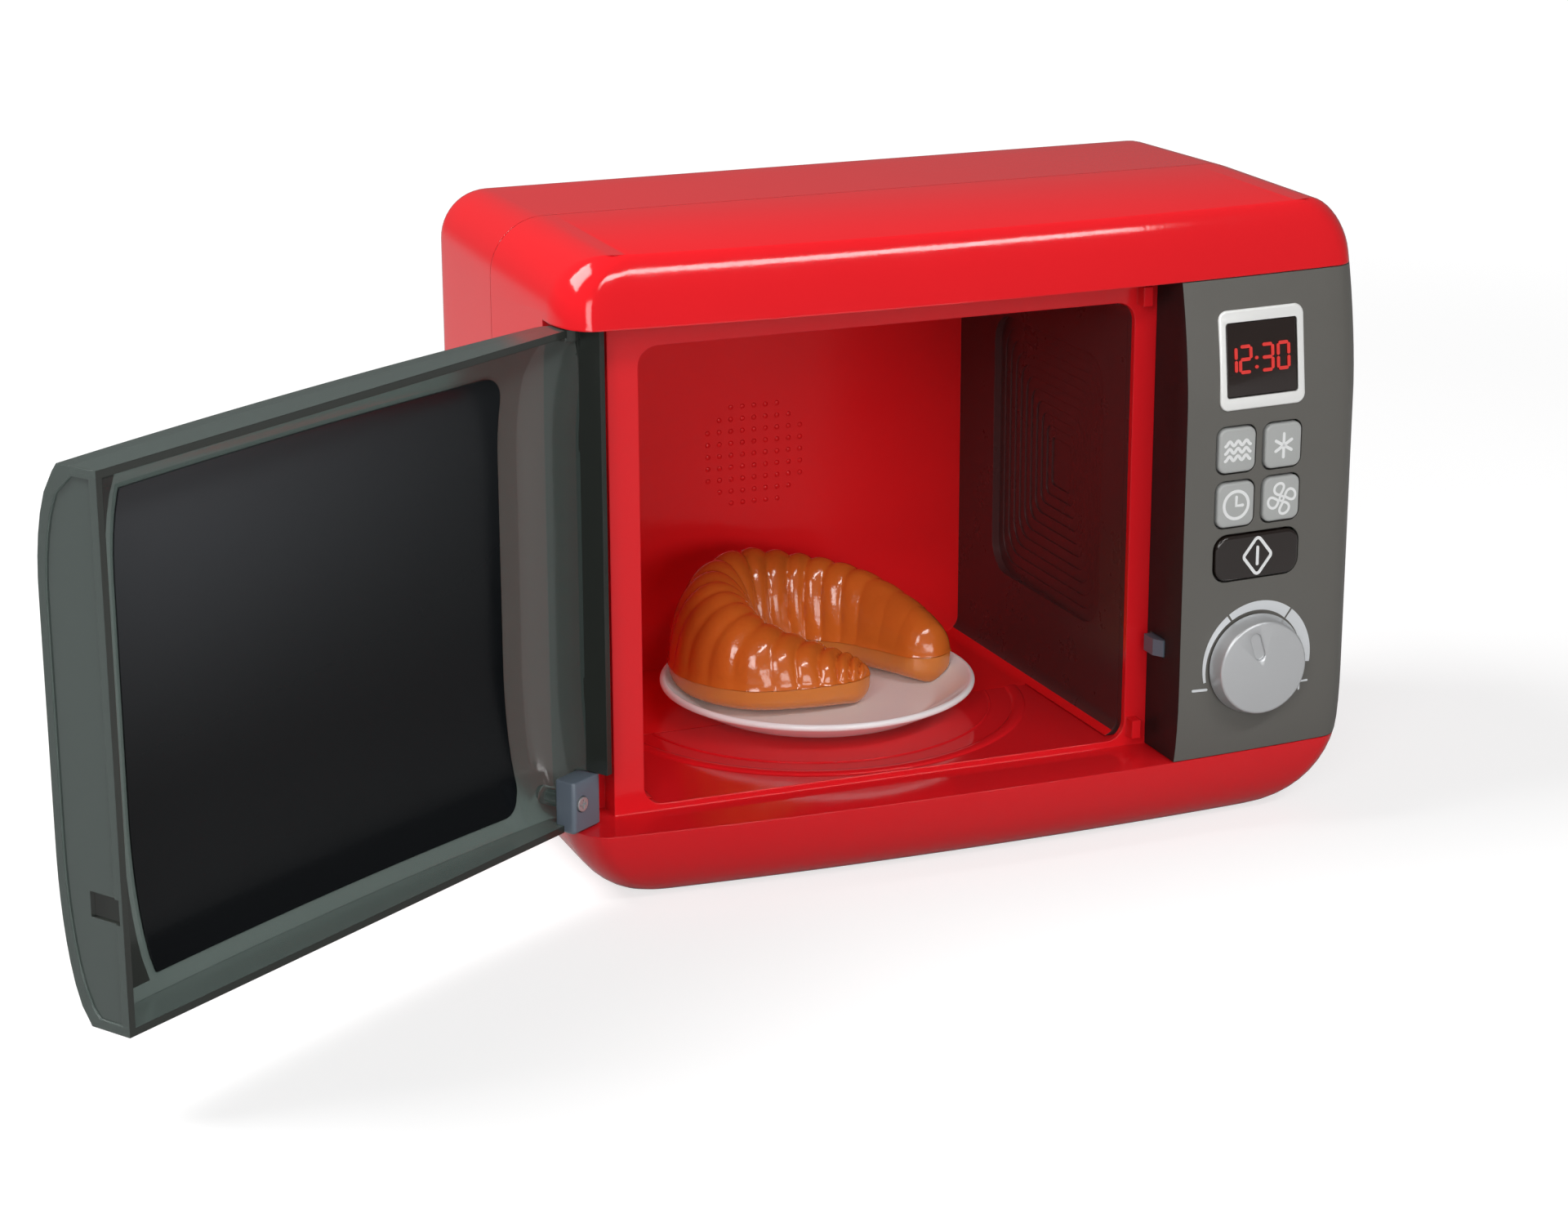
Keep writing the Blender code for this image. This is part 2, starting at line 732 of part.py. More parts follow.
KEY_PLACES = {
    "microwave_key": panel_place(across_share=0.2685, up_share=0.6551),
    "defrost_key": panel_place(across_share=0.5212, up_share=0.6534),
    "clock_key": panel_place(across_share=0.2698, up_share=0.5415),
    "fan_key": panel_place(across_share=0.5212, up_share=0.5420),
}
START_BUTTON = panel_frame(shares=(0.1640, 0.3670, 0.6296, 0.4795))
START_CORNER = 0.0050
KNOB_SHARES = (0.40476, 0.19886)
KNOB_X, KNOB_Z = panel_place(*KNOB_SHARES)
KNOB_RADIUS = 0.0193
KNOB_FACE_RADIUS = 0.0179
KNOB_PROUD = 0.0065
KNOB_BEVEL = 0.0008
KNOB_SHAFT_RADIUS = 0.0030
KNOB_SHAFT_BORE = 0.0034
KNOB_GAP = 0.0005
SHAFT_LENGTH = 0.0110
SWITCH_SIZE = 0.0160
SWITCH_DEPTH = 0.0120
POINTER_LENGTH = 0.0105
POINTER_WIDTH = 0.0036
POINTER_DEPTH = 0.0010
POINTER_TILT_DEGREES = 12.0
POINTER_INSET = 0.0035
BOARD_SETBACK = 0.0145
BOARD_Y = FRONT_Y + BOARD_SETBACK
BOARD_THICKNESS = 0.0016
BOARD = panel_frame(shares=(0.0741, 0.3239, 0.7354, 0.9489))
MAT_THICKNESS = 0.0010
MAT = panel_frame(shares=(0.1534, 0.3580, 0.6561, 0.7216))
BOARD_POST_RADIUS = 0.0025


def panel_form(inset):
    """The belt's form, right of the pod's side wall."""
    side = POD_LEFT + (inset if inset > 0 else 0)
    low = BELT_LOW + GAP if inset <= 0 else BELT_LOW - OVERRUN
    high = BELT_HIGH - GAP if inset <= 0 else BELT_HIGH + OVERRUN
    back = FLANGE_Y - GAP if inset <= 0 else 0.0
    return keep(blank(inset, OVERRUN), box((side, -DEPTH, low), (WIDTH, back, high)))


def on_panel(outline, proud, back):
    """A prism whose front follows the panel's bow, standing proud of it."""
    return keep(prism(outline, -DEPTH, back), blank(-proud, OVERRUN))


def key_outline(place, grow=0.0):
    x, z = place
    return rounded(
        x - KEY_WIDTH / 2 - grow,
        z - KEY_HEIGHT / 2 - grow,
        x + KEY_WIDTH / 2 + grow,
        z + KEY_HEIGHT / 2 + grow,
        KEY_CORNER + grow,
    )


def grown(frame, grow):
    left, bottom, right, top = frame
    return left - grow, bottom - grow, right + grow, top + grow


def behind_panel(right_x, height):
    """The deepest place of the panel's inner face, left of right_x."""
    return front_y(right_x, height) + PANEL_WALL + GAP


def board_posts():
    left, bottom, right, top = BOARD
    inset = BOARD_POST_RADIUS + GAP
    return [(x, z) for x in (left + inset, right - inset) for z in (bottom + inset, top - inset)]


def make_control_panel(material):
    panel = panel_form(0.0)
    cut(panel, panel_form(PANEL_WALL))
    for place in KEY_PLACES.values():
        cut(panel, prism(key_outline(place, FIT), -DEPTH, BOARD_Y))
    cut(panel, prism(rounded(*grown(START_BUTTON, FIT), START_CORNER + FIT), -DEPTH, BOARD_Y))
    cut(panel, prism(rounded(*grown(DISPLAY, FIT), DISPLAY_CORNER + FIT), -DEPTH, BOARD_Y))
    cut(panel, rod((KNOB_X, KNOB_Z), KNOB_SHAFT_BORE, -DEPTH, BOARD_Y))
    for x, z in board_posts():
        front = front_y(x, z) + PANEL_WALL / 2
        join(panel, rod((x, z), BOARD_POST_RADIUS, front, BOARD_Y - GAP, steps=12))
    slot = grown(LATCH_SECTION, LATCH_CLEARANCE)
    cut(panel, box((POD_LEFT - OVERRUN, slot[0], slot[1]), (POD_LEFT + OVERRUN, slot[2], slot[3])))
    for rail_low in (LATCH_SECTION[1] - LATCH_CLEARANCE - RAIL, LATCH_SECTION[3] + LATCH_CLEARANCE):
        rail = box(
            (POD_LEFT + PANEL_WALL / 2, LATCH_SECTION[0], rail_low),
            (POD_LEFT + PANEL_WALL + RAIL_LENGTH, LATCH_SECTION[2], rail_low + RAIL),
        )
        join(panel, rail)
    stop_x = spring_stop_x()
    stop = box(
        (stop_x, -DEPTH, LATCH_SECTION[1]),
        (stop_x + SPRING_STOP, LATCH_SECTION[2], LATCH_SECTION[3]),
    )
    join(panel, keep(stop, blank(PANEL_WALL / 2, OVERRUN)))
    return finish(panel, "control_panel", material)


def make_display(bezel_material, window_material):
    ring = on_panel(rounded(*BEZEL, BEZEL_CORNER), BEZEL_PROUD, OVERRUN)
    cut(ring, blank(-GAP, 2 * OVERRUN))
    cut(ring, prism(rounded(*grown(DISPLAY, FIT), DISPLAY_CORNER + FIT), -DEPTH, 0.0))
    finish(ring, "display_bezel", bezel_material)
    window = on_panel(rounded(*DISPLAY, DISPLAY_CORNER), DISPLAY_PROUD, -DEPTH / 2 + DISPLAY_BACK + BOW)
    finish(window, "display_window", window_material)


def make_keys(material):
    for name, place in KEY_PLACES.items():
        x, z = place
        seat = behind_panel(x + KEY_WIDTH / 2 + KEY_LIP, z)
        key = on_panel(key_outline(place), KEY_PROUD, seat + KEY_LIP_DEPTH)
        join(key, prism(key_outline(place, KEY_LIP), seat, seat + KEY_LIP_DEPTH))
        stem_end = mat_front() - KEY_TRAVEL - GAP
        join(key, rod(place, KEY_STEM_RADIUS, seat, stem_end))
        finish(key, name, material)
        pivot(key, (x, seat, z))


def mat_front():
    return BOARD_Y - GAP - MAT_THICKNESS


def make_start_button(material):
    left, bottom, right, top = START_BUTTON
    seat = behind_panel(right + KEY_LIP, bottom)
    button = on_panel(rounded(*START_BUTTON, START_CORNER), KEY_PROUD, seat + KEY_LIP_DEPTH)
    lip = rounded(*grown(START_BUTTON, KEY_LIP), START_CORNER + KEY_LIP)
    join(button, prism(lip, seat, seat + KEY_LIP_DEPTH))
    centre = ((left + right) / 2, (bottom + top) / 2)
    join(button, rod(centre, KEY_STEM_RADIUS, seat, mat_front() - KEY_TRAVEL - GAP))
    finish(button, "start_button", material)
    pivot(button, (centre[0], seat, centre[1]))


LAMP_RADIUS = 0.0015
LAMP_LENGTH = 0.0040
LAMP_OFFSET = 0.0105


def lamp_places():
    left, bottom, right, top = START_BUTTON
    middle = (left + right) / 2
    return [(middle + side * LAMP_OFFSET, (bottom + top) / 2) for side in (-1, 1)]


def make_board(board_material, mat_material, lamp_material):
    board = prism(rounded(*BOARD, BOARD_POST_RADIUS), BOARD_Y, BOARD_Y + BOARD_THICKNESS)
    finish(board, "circuit_board", board_material)
    mat = prism(rounded(*MAT, BOARD_POST_RADIUS), mat_front(), BOARD_Y - GAP)
    for place in lamp_places():
        cut(mat, rod(place, LAMP_RADIUS + GAP, mat_front() - OVERRUN, BOARD_Y, steps=12))
    finish(mat, "key_mat", mat_material)
    for side, place in zip(("left", "right"), lamp_places()):
        dome = [(0.0, BOARD_Y - GAP), (LAMP_RADIUS, BOARD_Y - GAP)]
        tip = BOARD_Y - GAP - LAMP_LENGTH + LAMP_RADIUS
        for radius, rise in arc((0.0, 0.0), LAMP_RADIUS, 0, 1, 4):
            dome.append((max(radius, 0.0), tip - rise))
        finish(turned(dome, place, "Y", 12), f"lamp_{side}", lamp_material)


def knob_back():
    return front_y(KNOB_X - KNOB_RADIUS, KNOB_Z) - KNOB_GAP


def make_knob(material, switch_material):
    back = knob_back()
    face = back - KNOB_PROUD
    profile = [
        (0.0, back + SHAFT_LENGTH),
        (KNOB_SHAFT_RADIUS, back + SHAFT_LENGTH),
        (KNOB_SHAFT_RADIUS, back),
        (KNOB_RADIUS, back),
        (KNOB_FACE_RADIUS, face + KNOB_BEVEL),
        (KNOB_FACE_RADIUS - KNOB_BEVEL / 4, face + KNOB_BEVEL / 4),
        (KNOB_FACE_RADIUS - KNOB_BEVEL, face),
        (0.0, face),
    ]
    knob = turned(profile, (KNOB_X, KNOB_Z), "Y", 36)
    low = KNOB_FACE_RADIUS - POINTER_INSET - POINTER_LENGTH
    pointer = slot_outline(0.0, low, low + POINTER_LENGTH, POINTER_WIDTH)
    lean = math.radians(POINTER_TILT_DEGREES)
    turned_outline = []
    for x, z in pointer:
        turned_outline.append((
            KNOB_X + x * math.cos(lean) - z * math.sin(lean),
            KNOB_Z + x * math.sin(lean) + z * math.cos(lean),
        ))
    cut(knob, prism(turned_outline, face - OVERRUN, face + POINTER_DEPTH))
    finish(knob, "timer_knob", material)
    pivot(knob, (KNOB_X, back, KNOB_Z))
    switch_front = front_y(KNOB_X + SWITCH_SIZE / 2, KNOB_Z) + PANEL_WALL + GAP
    half = SWITCH_SIZE / 2
    switch = box(
        (KNOB_X - half, switch_front, KNOB_Z - half),
        (KNOB_X + half, switch_front + SWITCH_DEPTH, KNOB_Z + half),
    )
    cut(switch, rod((KNOB_X, KNOB_Z), KNOB_SHAFT_BORE, switch_front - OVERRUN, back + SHAFT_LENGTH + FIT))
    finish(switch, "rotary_switch", switch_material)


# Latch: a sprung wedge that slides into the pod. Its section is (low y, low z, high y, high z)
LATCH_SETBACK = 0.0140
LATCH_FLANGE_GAP = 0.0030
LATCH_RISE = 0.0372
LATCH_HEIGHT = 0.0062
LATCH_SECTION = (
    FRONT_Y + LATCH_SETBACK,
    BELT_LOW + LATCH_RISE,
    FLANGE_Y - LATCH_FLANGE_GAP,
    BELT_LOW + LATCH_RISE + LATCH_HEIGHT,
)
LATCH_CLEARANCE = 0.0005
LATCH_REACH = 0.0028
LATCH_TRAVEL = 0.0030
LATCH_BODY = 0.0130
LATCH_COLLAR = 0.0015
LATCH_COLLAR_GROW = 0.0018
LATCH_RAMP = 0.0035
RAIL = 0.0015
RAIL_LENGTH = 0.0010
SPRING_RADIUS = 0.0015
SPRING_WIRE = 0.0003
SPRING_TURNS = 5
SPRING_BORE = 0.0022
BORE_FLOOR = 0.0020
SPRING_STOP = 0.0020


def latch_inner():
    """Where the latch's body starts, inside the panel's side wall."""
    return POD_LEFT + PANEL_WALL + GAP


def spring_stop_x():
    return latch_inner() + LATCH_BODY + LATCH_TRAVEL + GAP


def make_latch(material, spring_material):
    low_y, low_z, high_y, high_z = LATCH_SECTION
    tip = POD_LEFT - LATCH_REACH
    inner = latch_inner()
    end = inner + LATCH_BODY
    outline = (
        (end, low_y),
        (end, high_y),
        (tip, high_y),
        (tip, low_y + LATCH_RAMP),
        (POD_LEFT - LATCH_CLEARANCE, low_y),
    )
    latch = prism(outline, low_z, high_z, "Z")
    grown_section = grown(LATCH_SECTION, LATCH_COLLAR_GROW)
    collar = box(
        (inner + RAIL_LENGTH, grown_section[0], grown_section[1]),
        (inner + RAIL_LENGTH + LATCH_COLLAR, grown_section[2], grown_section[3]),
    )
    join(latch, collar)
    centre = ((low_y + high_y) / 2, (low_z + high_z) / 2)
    floor = inner + BORE_FLOOR
    cut(latch, rod(centre, SPRING_BORE, floor, end + OVERRUN, "X", 16))
    finish(latch, "latch", material)
    pivot(latch, (POD_LEFT, centre[0], centre[1]))
    start = floor + LATCH_TRAVEL + GAP
    finish(coil(centre, start, spring_stop_x() - GAP - start), "latch_spring", spring_material)


def coil(centre, start, length):
    """A compression spring along X, as one tube."""
    curve = bpy.data.curves.new("coil", "CURVE")
    curve.dimensions = "3D"
    curve.bevel_depth = SPRING_WIRE
    curve.bevel_resolution = 1
    curve.use_fill_caps = True
    steps = 8 * SPRING_TURNS
    spline = curve.splines.new("POLY")
    spline.points.add(steps)
    run = length - 2 * SPRING_WIRE
    for step in range(steps + 1):
        turn = 2 * math.pi * SPRING_TURNS * step / steps
        x = start + SPRING_WIRE + run * step / steps
        y = centre[0] + SPRING_RADIUS * math.cos(turn)
        z = centre[1] + SPRING_RADIUS * math.sin(turn)
        spline.points[step].co = (x, y, z, 1.0)
    made = bpy.data.objects.new("coil", curve)
    bpy.context.scene.collection.objects.link(made)
    graph = bpy.context.evaluated_depsgraph_get()
    mesh = bpy.data.meshes.new_from_object(made.evaluated_get(graph))
    bpy.data.objects.remove(made)
    tube = bpy.data.objects.new("coil", mesh)
    bpy.context.scene.collection.objects.link(tube)
    return welded(tube)


# Door
DOOR_SIDE_GAP = 0.0010
DOOR_RIM_GAP = 0.0007
SKIRT_GAP = 0.0015
DOOR_RIGHT = POD_LEFT - DOOR_SIDE_GAP
DOOR_RIM = FLANGE_Y - DOOR_RIM_GAP
DOOR_PROUD = 0.0012
SKIRT_BACK = POCKET_BACK - SKIRT_GAP
DOOR_TOP_REACH = 0.040
DOOR_TOP_FALL = 0.0136
DOOR_LOW_REACH = 0.055
DOOR_LOW_FALL = 0.0125
DOOR_POWER = 2
SLOT_CLEARANCE = 0.0005
FILM_LEFT_MARGIN = 0.003
FILM_LOW_MARGIN = 0.008
FILM_RIGHT_MARGIN = 0.0284
FILM_TOP_MARGIN = 0.015
FILM = (
    LEFT_STILE + FILM_LEFT_MARGIN,
    BELT_LOW + FILM_LOW_MARGIN,
    DOOR_RIGHT - FILM_RIGHT_MARGIN,
    BELT_HIGH - FILM_TOP_MARGIN,
)
FILM_CORNER = 0.010
FILM_THICKNESS = 0.0005
DOOR_ROUNDING = Rounding(
    (BELT_HIGH - DOOR_GAP_Z, DOOR_TOP_REACH, DOOR_TOP_FALL, DOOR_POWER),
    (BELT_LOW + DOOR_GAP_Z, DOOR_LOW_REACH, DOOR_LOW_FALL, DOOR_POWER),
    DOOR_PROUD,
)

# Lower hinge block, screwed to the door
BLOCK_FRONT_REACH = 0.0025
BLOCK_RIGHT_REACH = 0.0100
BLOCK_BACK_REACH = 0.0060
BLOCK_HEIGHT = 0.0187
BLOCK = (
    -WIDTH / 2,
    HINGE_Y - BLOCK_FRONT_REACH,
    HINGE_X + BLOCK_RIGHT_REACH,
    HINGE_Y + BLOCK_BACK_REACH,
)
BLOCK_LOW = BELT_LOW + GAP
BLOCK_HIGH = BLOCK_LOW + BLOCK_HEIGHT
BLOCK_CORNER = 0.0015
PIN_DEPTH = 0.0030
PIN_BOSS_RADIUS = 0.0036
PIN_BOSS_DROP = 0.0040
BLOCK_SCREW_OFFSET = 0.0055
BLOCK_SCREW_RISE = 0.0102
BLOCK_SCREW = (HINGE_X + BLOCK_SCREW_OFFSET, BLOCK_LOW + BLOCK_SCREW_RISE)
BLOCK_SCREW_HEAD_RADIUS = 0.0026
BLOCK_SCREW_HEAD = 0.0013
BLOCK_SCREW_SINK = 0.0010
BLOCK_SHANK_RADIUS = 0.0012
DOOR_BOSS_RADIUS = 0.0033
BLOCK_SHANK_REACH = 0.0060
CROSS_LENGTH_SHARE = 0.62
CROSS_WIDTH_SHARE = 0.14


def door_form(inset):
    """The closed door's outer form, or with an inset the hollow inside it."""
    low = BELT_LOW + DOOR_GAP_Z + inset
    high = BELT_HIGH - DOOR_GAP_Z - inset
    back = 0.0 if inset else SKIRT_BACK
    form = blank(inset, OVERRUN, DOOR_ROUNDING)
    return keep(form, box((-WIDTH, -DEPTH, low), (DOOR_RIGHT - inset, back, high)))


def cross_head(centre, head_radius, head, shank_radius, head_end, length):
    """A cross-head screw along Y. Its head ends at head_end and its shank runs towards -Y."""
    screw = rod(centre, head_radius, head_end - head, head_end)
    join(screw, rod(centre, shank_radius, head_end - head - length, head_end - head / 2, steps=12))
    arm = head_radius * CROSS_LENGTH_SHARE
    blade = head_radius * CROSS_WIDTH_SHARE
    x, z = centre
    for wide, tall in ((arm, blade), (blade, arm)):
        cut(screw, box((x - wide, head_end - head / 2, z - tall), (x + wide, head_end + head, z + tall)))
    return screw


def film_outline():
    """A sheet with round corners on the hinge side only."""
    left, bottom, right, top = FILM
    outline = [(right, bottom), (right, top)]
    outline += arc((left + FILM_CORNER, top - FILM_CORNER), FILM_CORNER, 1, 2, 5)
    outline += arc((left + FILM_CORNER, bottom + FILM_CORNER), FILM_CORNER, 2, 3, 5)
    return outline


def make_door(material, film_material, block_material, screw_material):
    door = cut(door_form(0.0), door_form(DOOR_WALL))
    cut(door, box((-WIDTH / 2 + DOOR_WALL, DOOR_RIM, 0.0), (WIDTH, DEPTH, HEIGHT)))
    x, z = BLOCK_SCREW
    boss_front = front_y(x, z, 0.0, DOOR_ROUNDING) + DOOR_WALL / 2
    join(door, rod((x, z), DOOR_BOSS_RADIUS, boss_front, BLOCK[1]))
    notch = box(
        (-WIDTH, BLOCK[1] - GAP, 0.0),
        (BLOCK[2] + GAP, DEPTH, BLOCK_HIGH + GAP),
    )
    cut(door, notch)
    cut(door, rod((x, z), BLOCK_SHANK_RADIUS + GAP, BLOCK[1] - BLOCK_SHANK_REACH - GAP, 0.0, steps=12))
    high = BELT_HIGH - DOOR_GAP_Z
    boss = rod((HINGE_X, HINGE_Y), PIN_BOSS_RADIUS, high - PIN_BOSS_DROP, high, "Z")
    join(door, boss)
    join(door, rod((HINGE_X, HINGE_Y), PIN_RADIUS, high - WALL, high + PIN_DEPTH, "Z"))
    slot = grown(LATCH_SECTION, LATCH_CLEARANCE + SLOT_CLEARANCE)
    cut(door, box((DOOR_RIGHT - 2 * DOOR_WALL, slot[0], slot[1]), (WIDTH, slot[2], slot[3])))
    finish(door, "door_shell", material)

    film = keep(
        prism(film_outline(), -DEPTH, 0.0),
        blank(DOOR_WALL + GAP, OVERRUN, DOOR_ROUNDING),
    )
    cut(film, blank(DOOR_WALL + GAP + FILM_THICKNESS, 2 * OVERRUN, DOOR_ROUNDING))
    finish(film, "door_film", film_material)

    block = prism(rounded(*BLOCK, BLOCK_CORNER, 2), BLOCK_LOW, BLOCK_HIGH, "Z")
    join(block, rod((HINGE_X, HINGE_Y), PIN_RADIUS, BLOCK_LOW - PIN_DEPTH, BLOCK_LOW + WALL, "Z"))
    cut(block, rod((x, z), BLOCK_SHANK_RADIUS + GAP, -DEPTH, 0.0, steps=12))
    sink = BLOCK[3] - BLOCK_SCREW_SINK
    cut(block, rod((x, z), BLOCK_SCREW_HEAD_RADIUS + GAP, sink, 0.0))
    finish(block, "hinge_block", block_material)

    length = sink + GAP - (BLOCK[1] - BLOCK_SHANK_REACH)
    head_end = sink + GAP + BLOCK_SCREW_HEAD
    screw = cross_head(
        BLOCK_SCREW, BLOCK_SCREW_HEAD_RADIUS, BLOCK_SCREW_HEAD, BLOCK_SHANK_RADIUS, head_end, length
    )
    finish(screw, "hinge_screw", screw_material)

    hinge = bpy.data.objects.new("door_hinge", None)
    bpy.context.scene.collection.objects.link(hinge)
    hinge.location = (HINGE_X, HINGE_Y, BELT_LOW)
    for piece in (door, film, block, screw):
        pivot(piece, hinge.location)
        piece.location = (0, 0, 0)
        piece.parent = hinge
    hinge.rotation_euler.z = -math.radians(DOOR_OPEN_DEGREES)


def make_housing_screws(material):
    seat = SEAM_Y + GAP + WELL_FLOOR
    for number, place in enumerate(SCREW_PLACES, 1):
        head_end = seat + GAP + SCREW_HEAD
        screw = cross_head(place, SCREW_HEAD_RADIUS, SCREW_HEAD, SHANK_RADIUS, head_end, SCREW_LENGTH)
        finish(screw, f"housing_screw_{number}", material)


# Contact strips
STRIP_THICKNESS = 0.0004
STRIP_MARGIN = 0.0012
CONE_RADIUS = 0.0040
CONE_TIP_RADIUS = 0.0018
COVER_RIB = 0.0015
BOSS_HALF = 0.0040
COVER_HEAD_RADIUS = 0.0026
COVER_HEAD = 0.0013
COVER_SHANK = 0.0090


def battery_centre_y():
    return BOX_FLOOR_Y + GAP + BATTERY_RADIUS


def battery_xs():
    left = battery_room()[0]
    return [left + BATTERY_PITCH * (place + 0.5) for place in range(BATTERY_COUNT)]


def cover_tabs():
    """Two tabs on the cover's inner face that locate its foot in the battery box."""
    left, bottom, right, top = cover_opening()
    inner = DEPTH / 2 - WALL
    tabs = []
    for share in (0.25, 0.75):
        x = left + (right - left) * share
        tabs.append(box(
            (x - COVER_TAB_WIDTH / 2, inner - COVER_TAB_REACH, bottom + FIT),
            (x + COVER_TAB_WIDTH / 2, inner + WALL / 2, bottom + FIT + COVER_TAB_DEPTH),
        ))
    return tabs


def make_battery_bay(plastic, metal, cell, cover_material, screw_material):
    left, bottom, right, top = battery_room()
    inner = DEPTH / 2 - WALL
    tray = box(
        (left - BOX_WALL, BOX_FLOOR_Y - BOX_WALL, bottom - BOX_WALL),
        (right + BOX_WALL, inner - GAP, top + BOX_WALL),
    )
    boss_z = cover_screw_z()
    boss = box(
        (BATTERY_X - BOSS_HALF, BOX_FLOOR_Y, top),
        (BATTERY_X + BOSS_HALF, inner - GAP, boss_z + BOSS_HALF),
    )
    join(tray, boss)
    cut(tray, box((left, BOX_FLOOR_Y, bottom), (right, inner + OVERRUN, top)))
    shank_end = DEPTH / 2 - COVER_HEAD - COVER_SHANK
    cut(tray, rod((BATTERY_X, boss_z), SHANK_RADIUS + GAP, shank_end - FIT, DEPTH, steps=12))
    finish(tray, "battery_box", plastic)

    cover = prism(rounded(*grown(cover_opening(), -FIT), COVER_CORNER - FIT), inner, DEPTH / 2)
    join(cover, *cover_tabs())
    rib_y = battery_centre_y() + BATTERY_RADIUS + GAP
    middle = (bottom + top) / 2
    rib = box(
        (left + COVER_MARGIN, rib_y, middle - COVER_RIB / 2),
        (right - COVER_MARGIN, inner + WALL / 2, middle + COVER_RIB / 2),
    )
    join(cover, rib)
    cut(cover, rod((BATTERY_X, boss_z), SHANK_RADIUS + GAP, 0.0, DEPTH, steps=12))
    sink = DEPTH / 2 - COVER_HEAD
    cut(cover, rod((BATTERY_X, boss_z), COVER_HEAD_RADIUS + GAP, sink - GAP, DEPTH))
    finish(cover, "battery_cover", cover_material)
    pivot(cover, (BATTERY_X, inner, middle))
    screw = cross_head(
        (BATTERY_X, boss_z), COVER_HEAD_RADIUS, COVER_HEAD, SHANK_RADIUS, DEPTH / 2, COVER_SHANK
    )
    finish(screw, "battery_cover_screw", screw_material)

    y = battery_centre_y()
    low = bottom + CONTACT_ROOM
    high = top - CONTACT_ROOM
    for number, x in enumerate(battery_xs(), 1):
        upright = number % 2 == 1
        nub_low, nub_high = (high - 2 * BATTERY_NUB, high) if upright else (low, low + 2 * BATTERY_NUB)
        body_low = low if upright else low + BATTERY_NUB
        battery = rod((x, y), BATTERY_RADIUS, body_low, body_low + BATTERY_LENGTH, "Z", 20)
        join(battery, rod((x, y), BATTERY_NUB_RADIUS, nub_low, nub_high, "Z", 12))
        finish(battery, f"battery_{number}", cell)
    for name, plate_low, direction in (
        ("contact_strip_low", bottom + GAP, 1),
        ("contact_strip_high", top - GAP, -1),
    ):
        plate_high = plate_low + direction * STRIP_THICKNESS
        strip = box(
            (left + STRIP_MARGIN, BOX_FLOOR_Y + STRIP_MARGIN, min(plate_low, plate_high)),
            (right - STRIP_MARGIN, y + BATTERY_RADIUS, max(plate_low, plate_high)),
        )
        tip = low - GAP if direction > 0 else high + GAP
        for x in battery_xs():
            middle_of_plate = (plate_low + plate_high) / 2
            profile = (
                (0.0, middle_of_plate),
                (CONE_RADIUS, middle_of_plate),
                (CONE_TIP_RADIUS, tip),
                (0.0, tip),
            )
            join(strip, turned(profile, (x, y), "Z", 12))
        finish(strip, name, metal)


def make_speaker(material):
    seat = DEPTH / 2 - WALL - GAP
    front = seat - SPEAKER_DEPTH
    shoulder = seat - SPEAKER_FLANGE
    neck = front + MAGNET_DEPTH
    cone_radius = SPEAKER_RADIUS - SPEAKER_RIM
    profile = (
        (0.0, front),
        (MAGNET_RADIUS, front),
        (MAGNET_RADIUS, neck),
        (cone_radius, shoulder),
        (SPEAKER_RADIUS, shoulder),
        (SPEAKER_RADIUS, seat),
        (cone_radius, seat),
        (MAGNET_RADIUS / 2, neck + SPEAKER_FLANGE),
        (0.0, neck + SPEAKER_FLANGE * 2),
    )
    finish(turned(profile, (BATTERY_X, speaker_z()), "Y", 24), "speaker", material)


# Plate
PLATE_RADIUS = 0.0592
PLATE_OFFSET = 0.0038
PLATE_BACK_ROOM = 0.0036
PLATE_X = (CAVITY_LEFT + CAVITY_RIGHT) / 2 + PLATE_OFFSET
PLATE_Y = CAVITY_BACK - PLATE_BACK_ROOM - PLATE_RADIUS
PLATE_BRIM = 0.0145
PLATE_FOOT_INSET = 0.0112
PLATE_WELL_RADIUS = PLATE_RADIUS - PLATE_BRIM
PLATE_FOOT_RADIUS = PLATE_WELL_RADIUS - PLATE_FOOT_INSET
PLATE_FOOT_WIDTH = 0.0028
PLATE_FOOT_HEIGHT = 0.0018
PLATE_THICKNESS = 0.0020
PLATE_RIM_HEIGHT = 0.0117
PLATE_RIM_WIDTH = 0.0022
RIM_ROLL_SHARES = (-0.6, 1.6)


def plate_floor():
    return SILL_TOP + GAP + PLATE_FOOT_HEIGHT + PLATE_THICKNESS


def above_plate(x, y):
    """The lowest height that clears the plate's well and its rising rim at a place."""
    radius = math.hypot(x - PLATE_X, y - PLATE_Y)
    climb = (radius - PLATE_WELL_RADIUS) / (PLATE_RADIUS - PLATE_RIM_WIDTH - PLATE_WELL_RADIUS)
    rise = PLATE_RIM_HEIGHT - PLATE_FOOT_HEIGHT - PLATE_THICKNESS + GAP
    return plate_floor() + GAP + rise * min(max(climb, 0.0), 1.0)


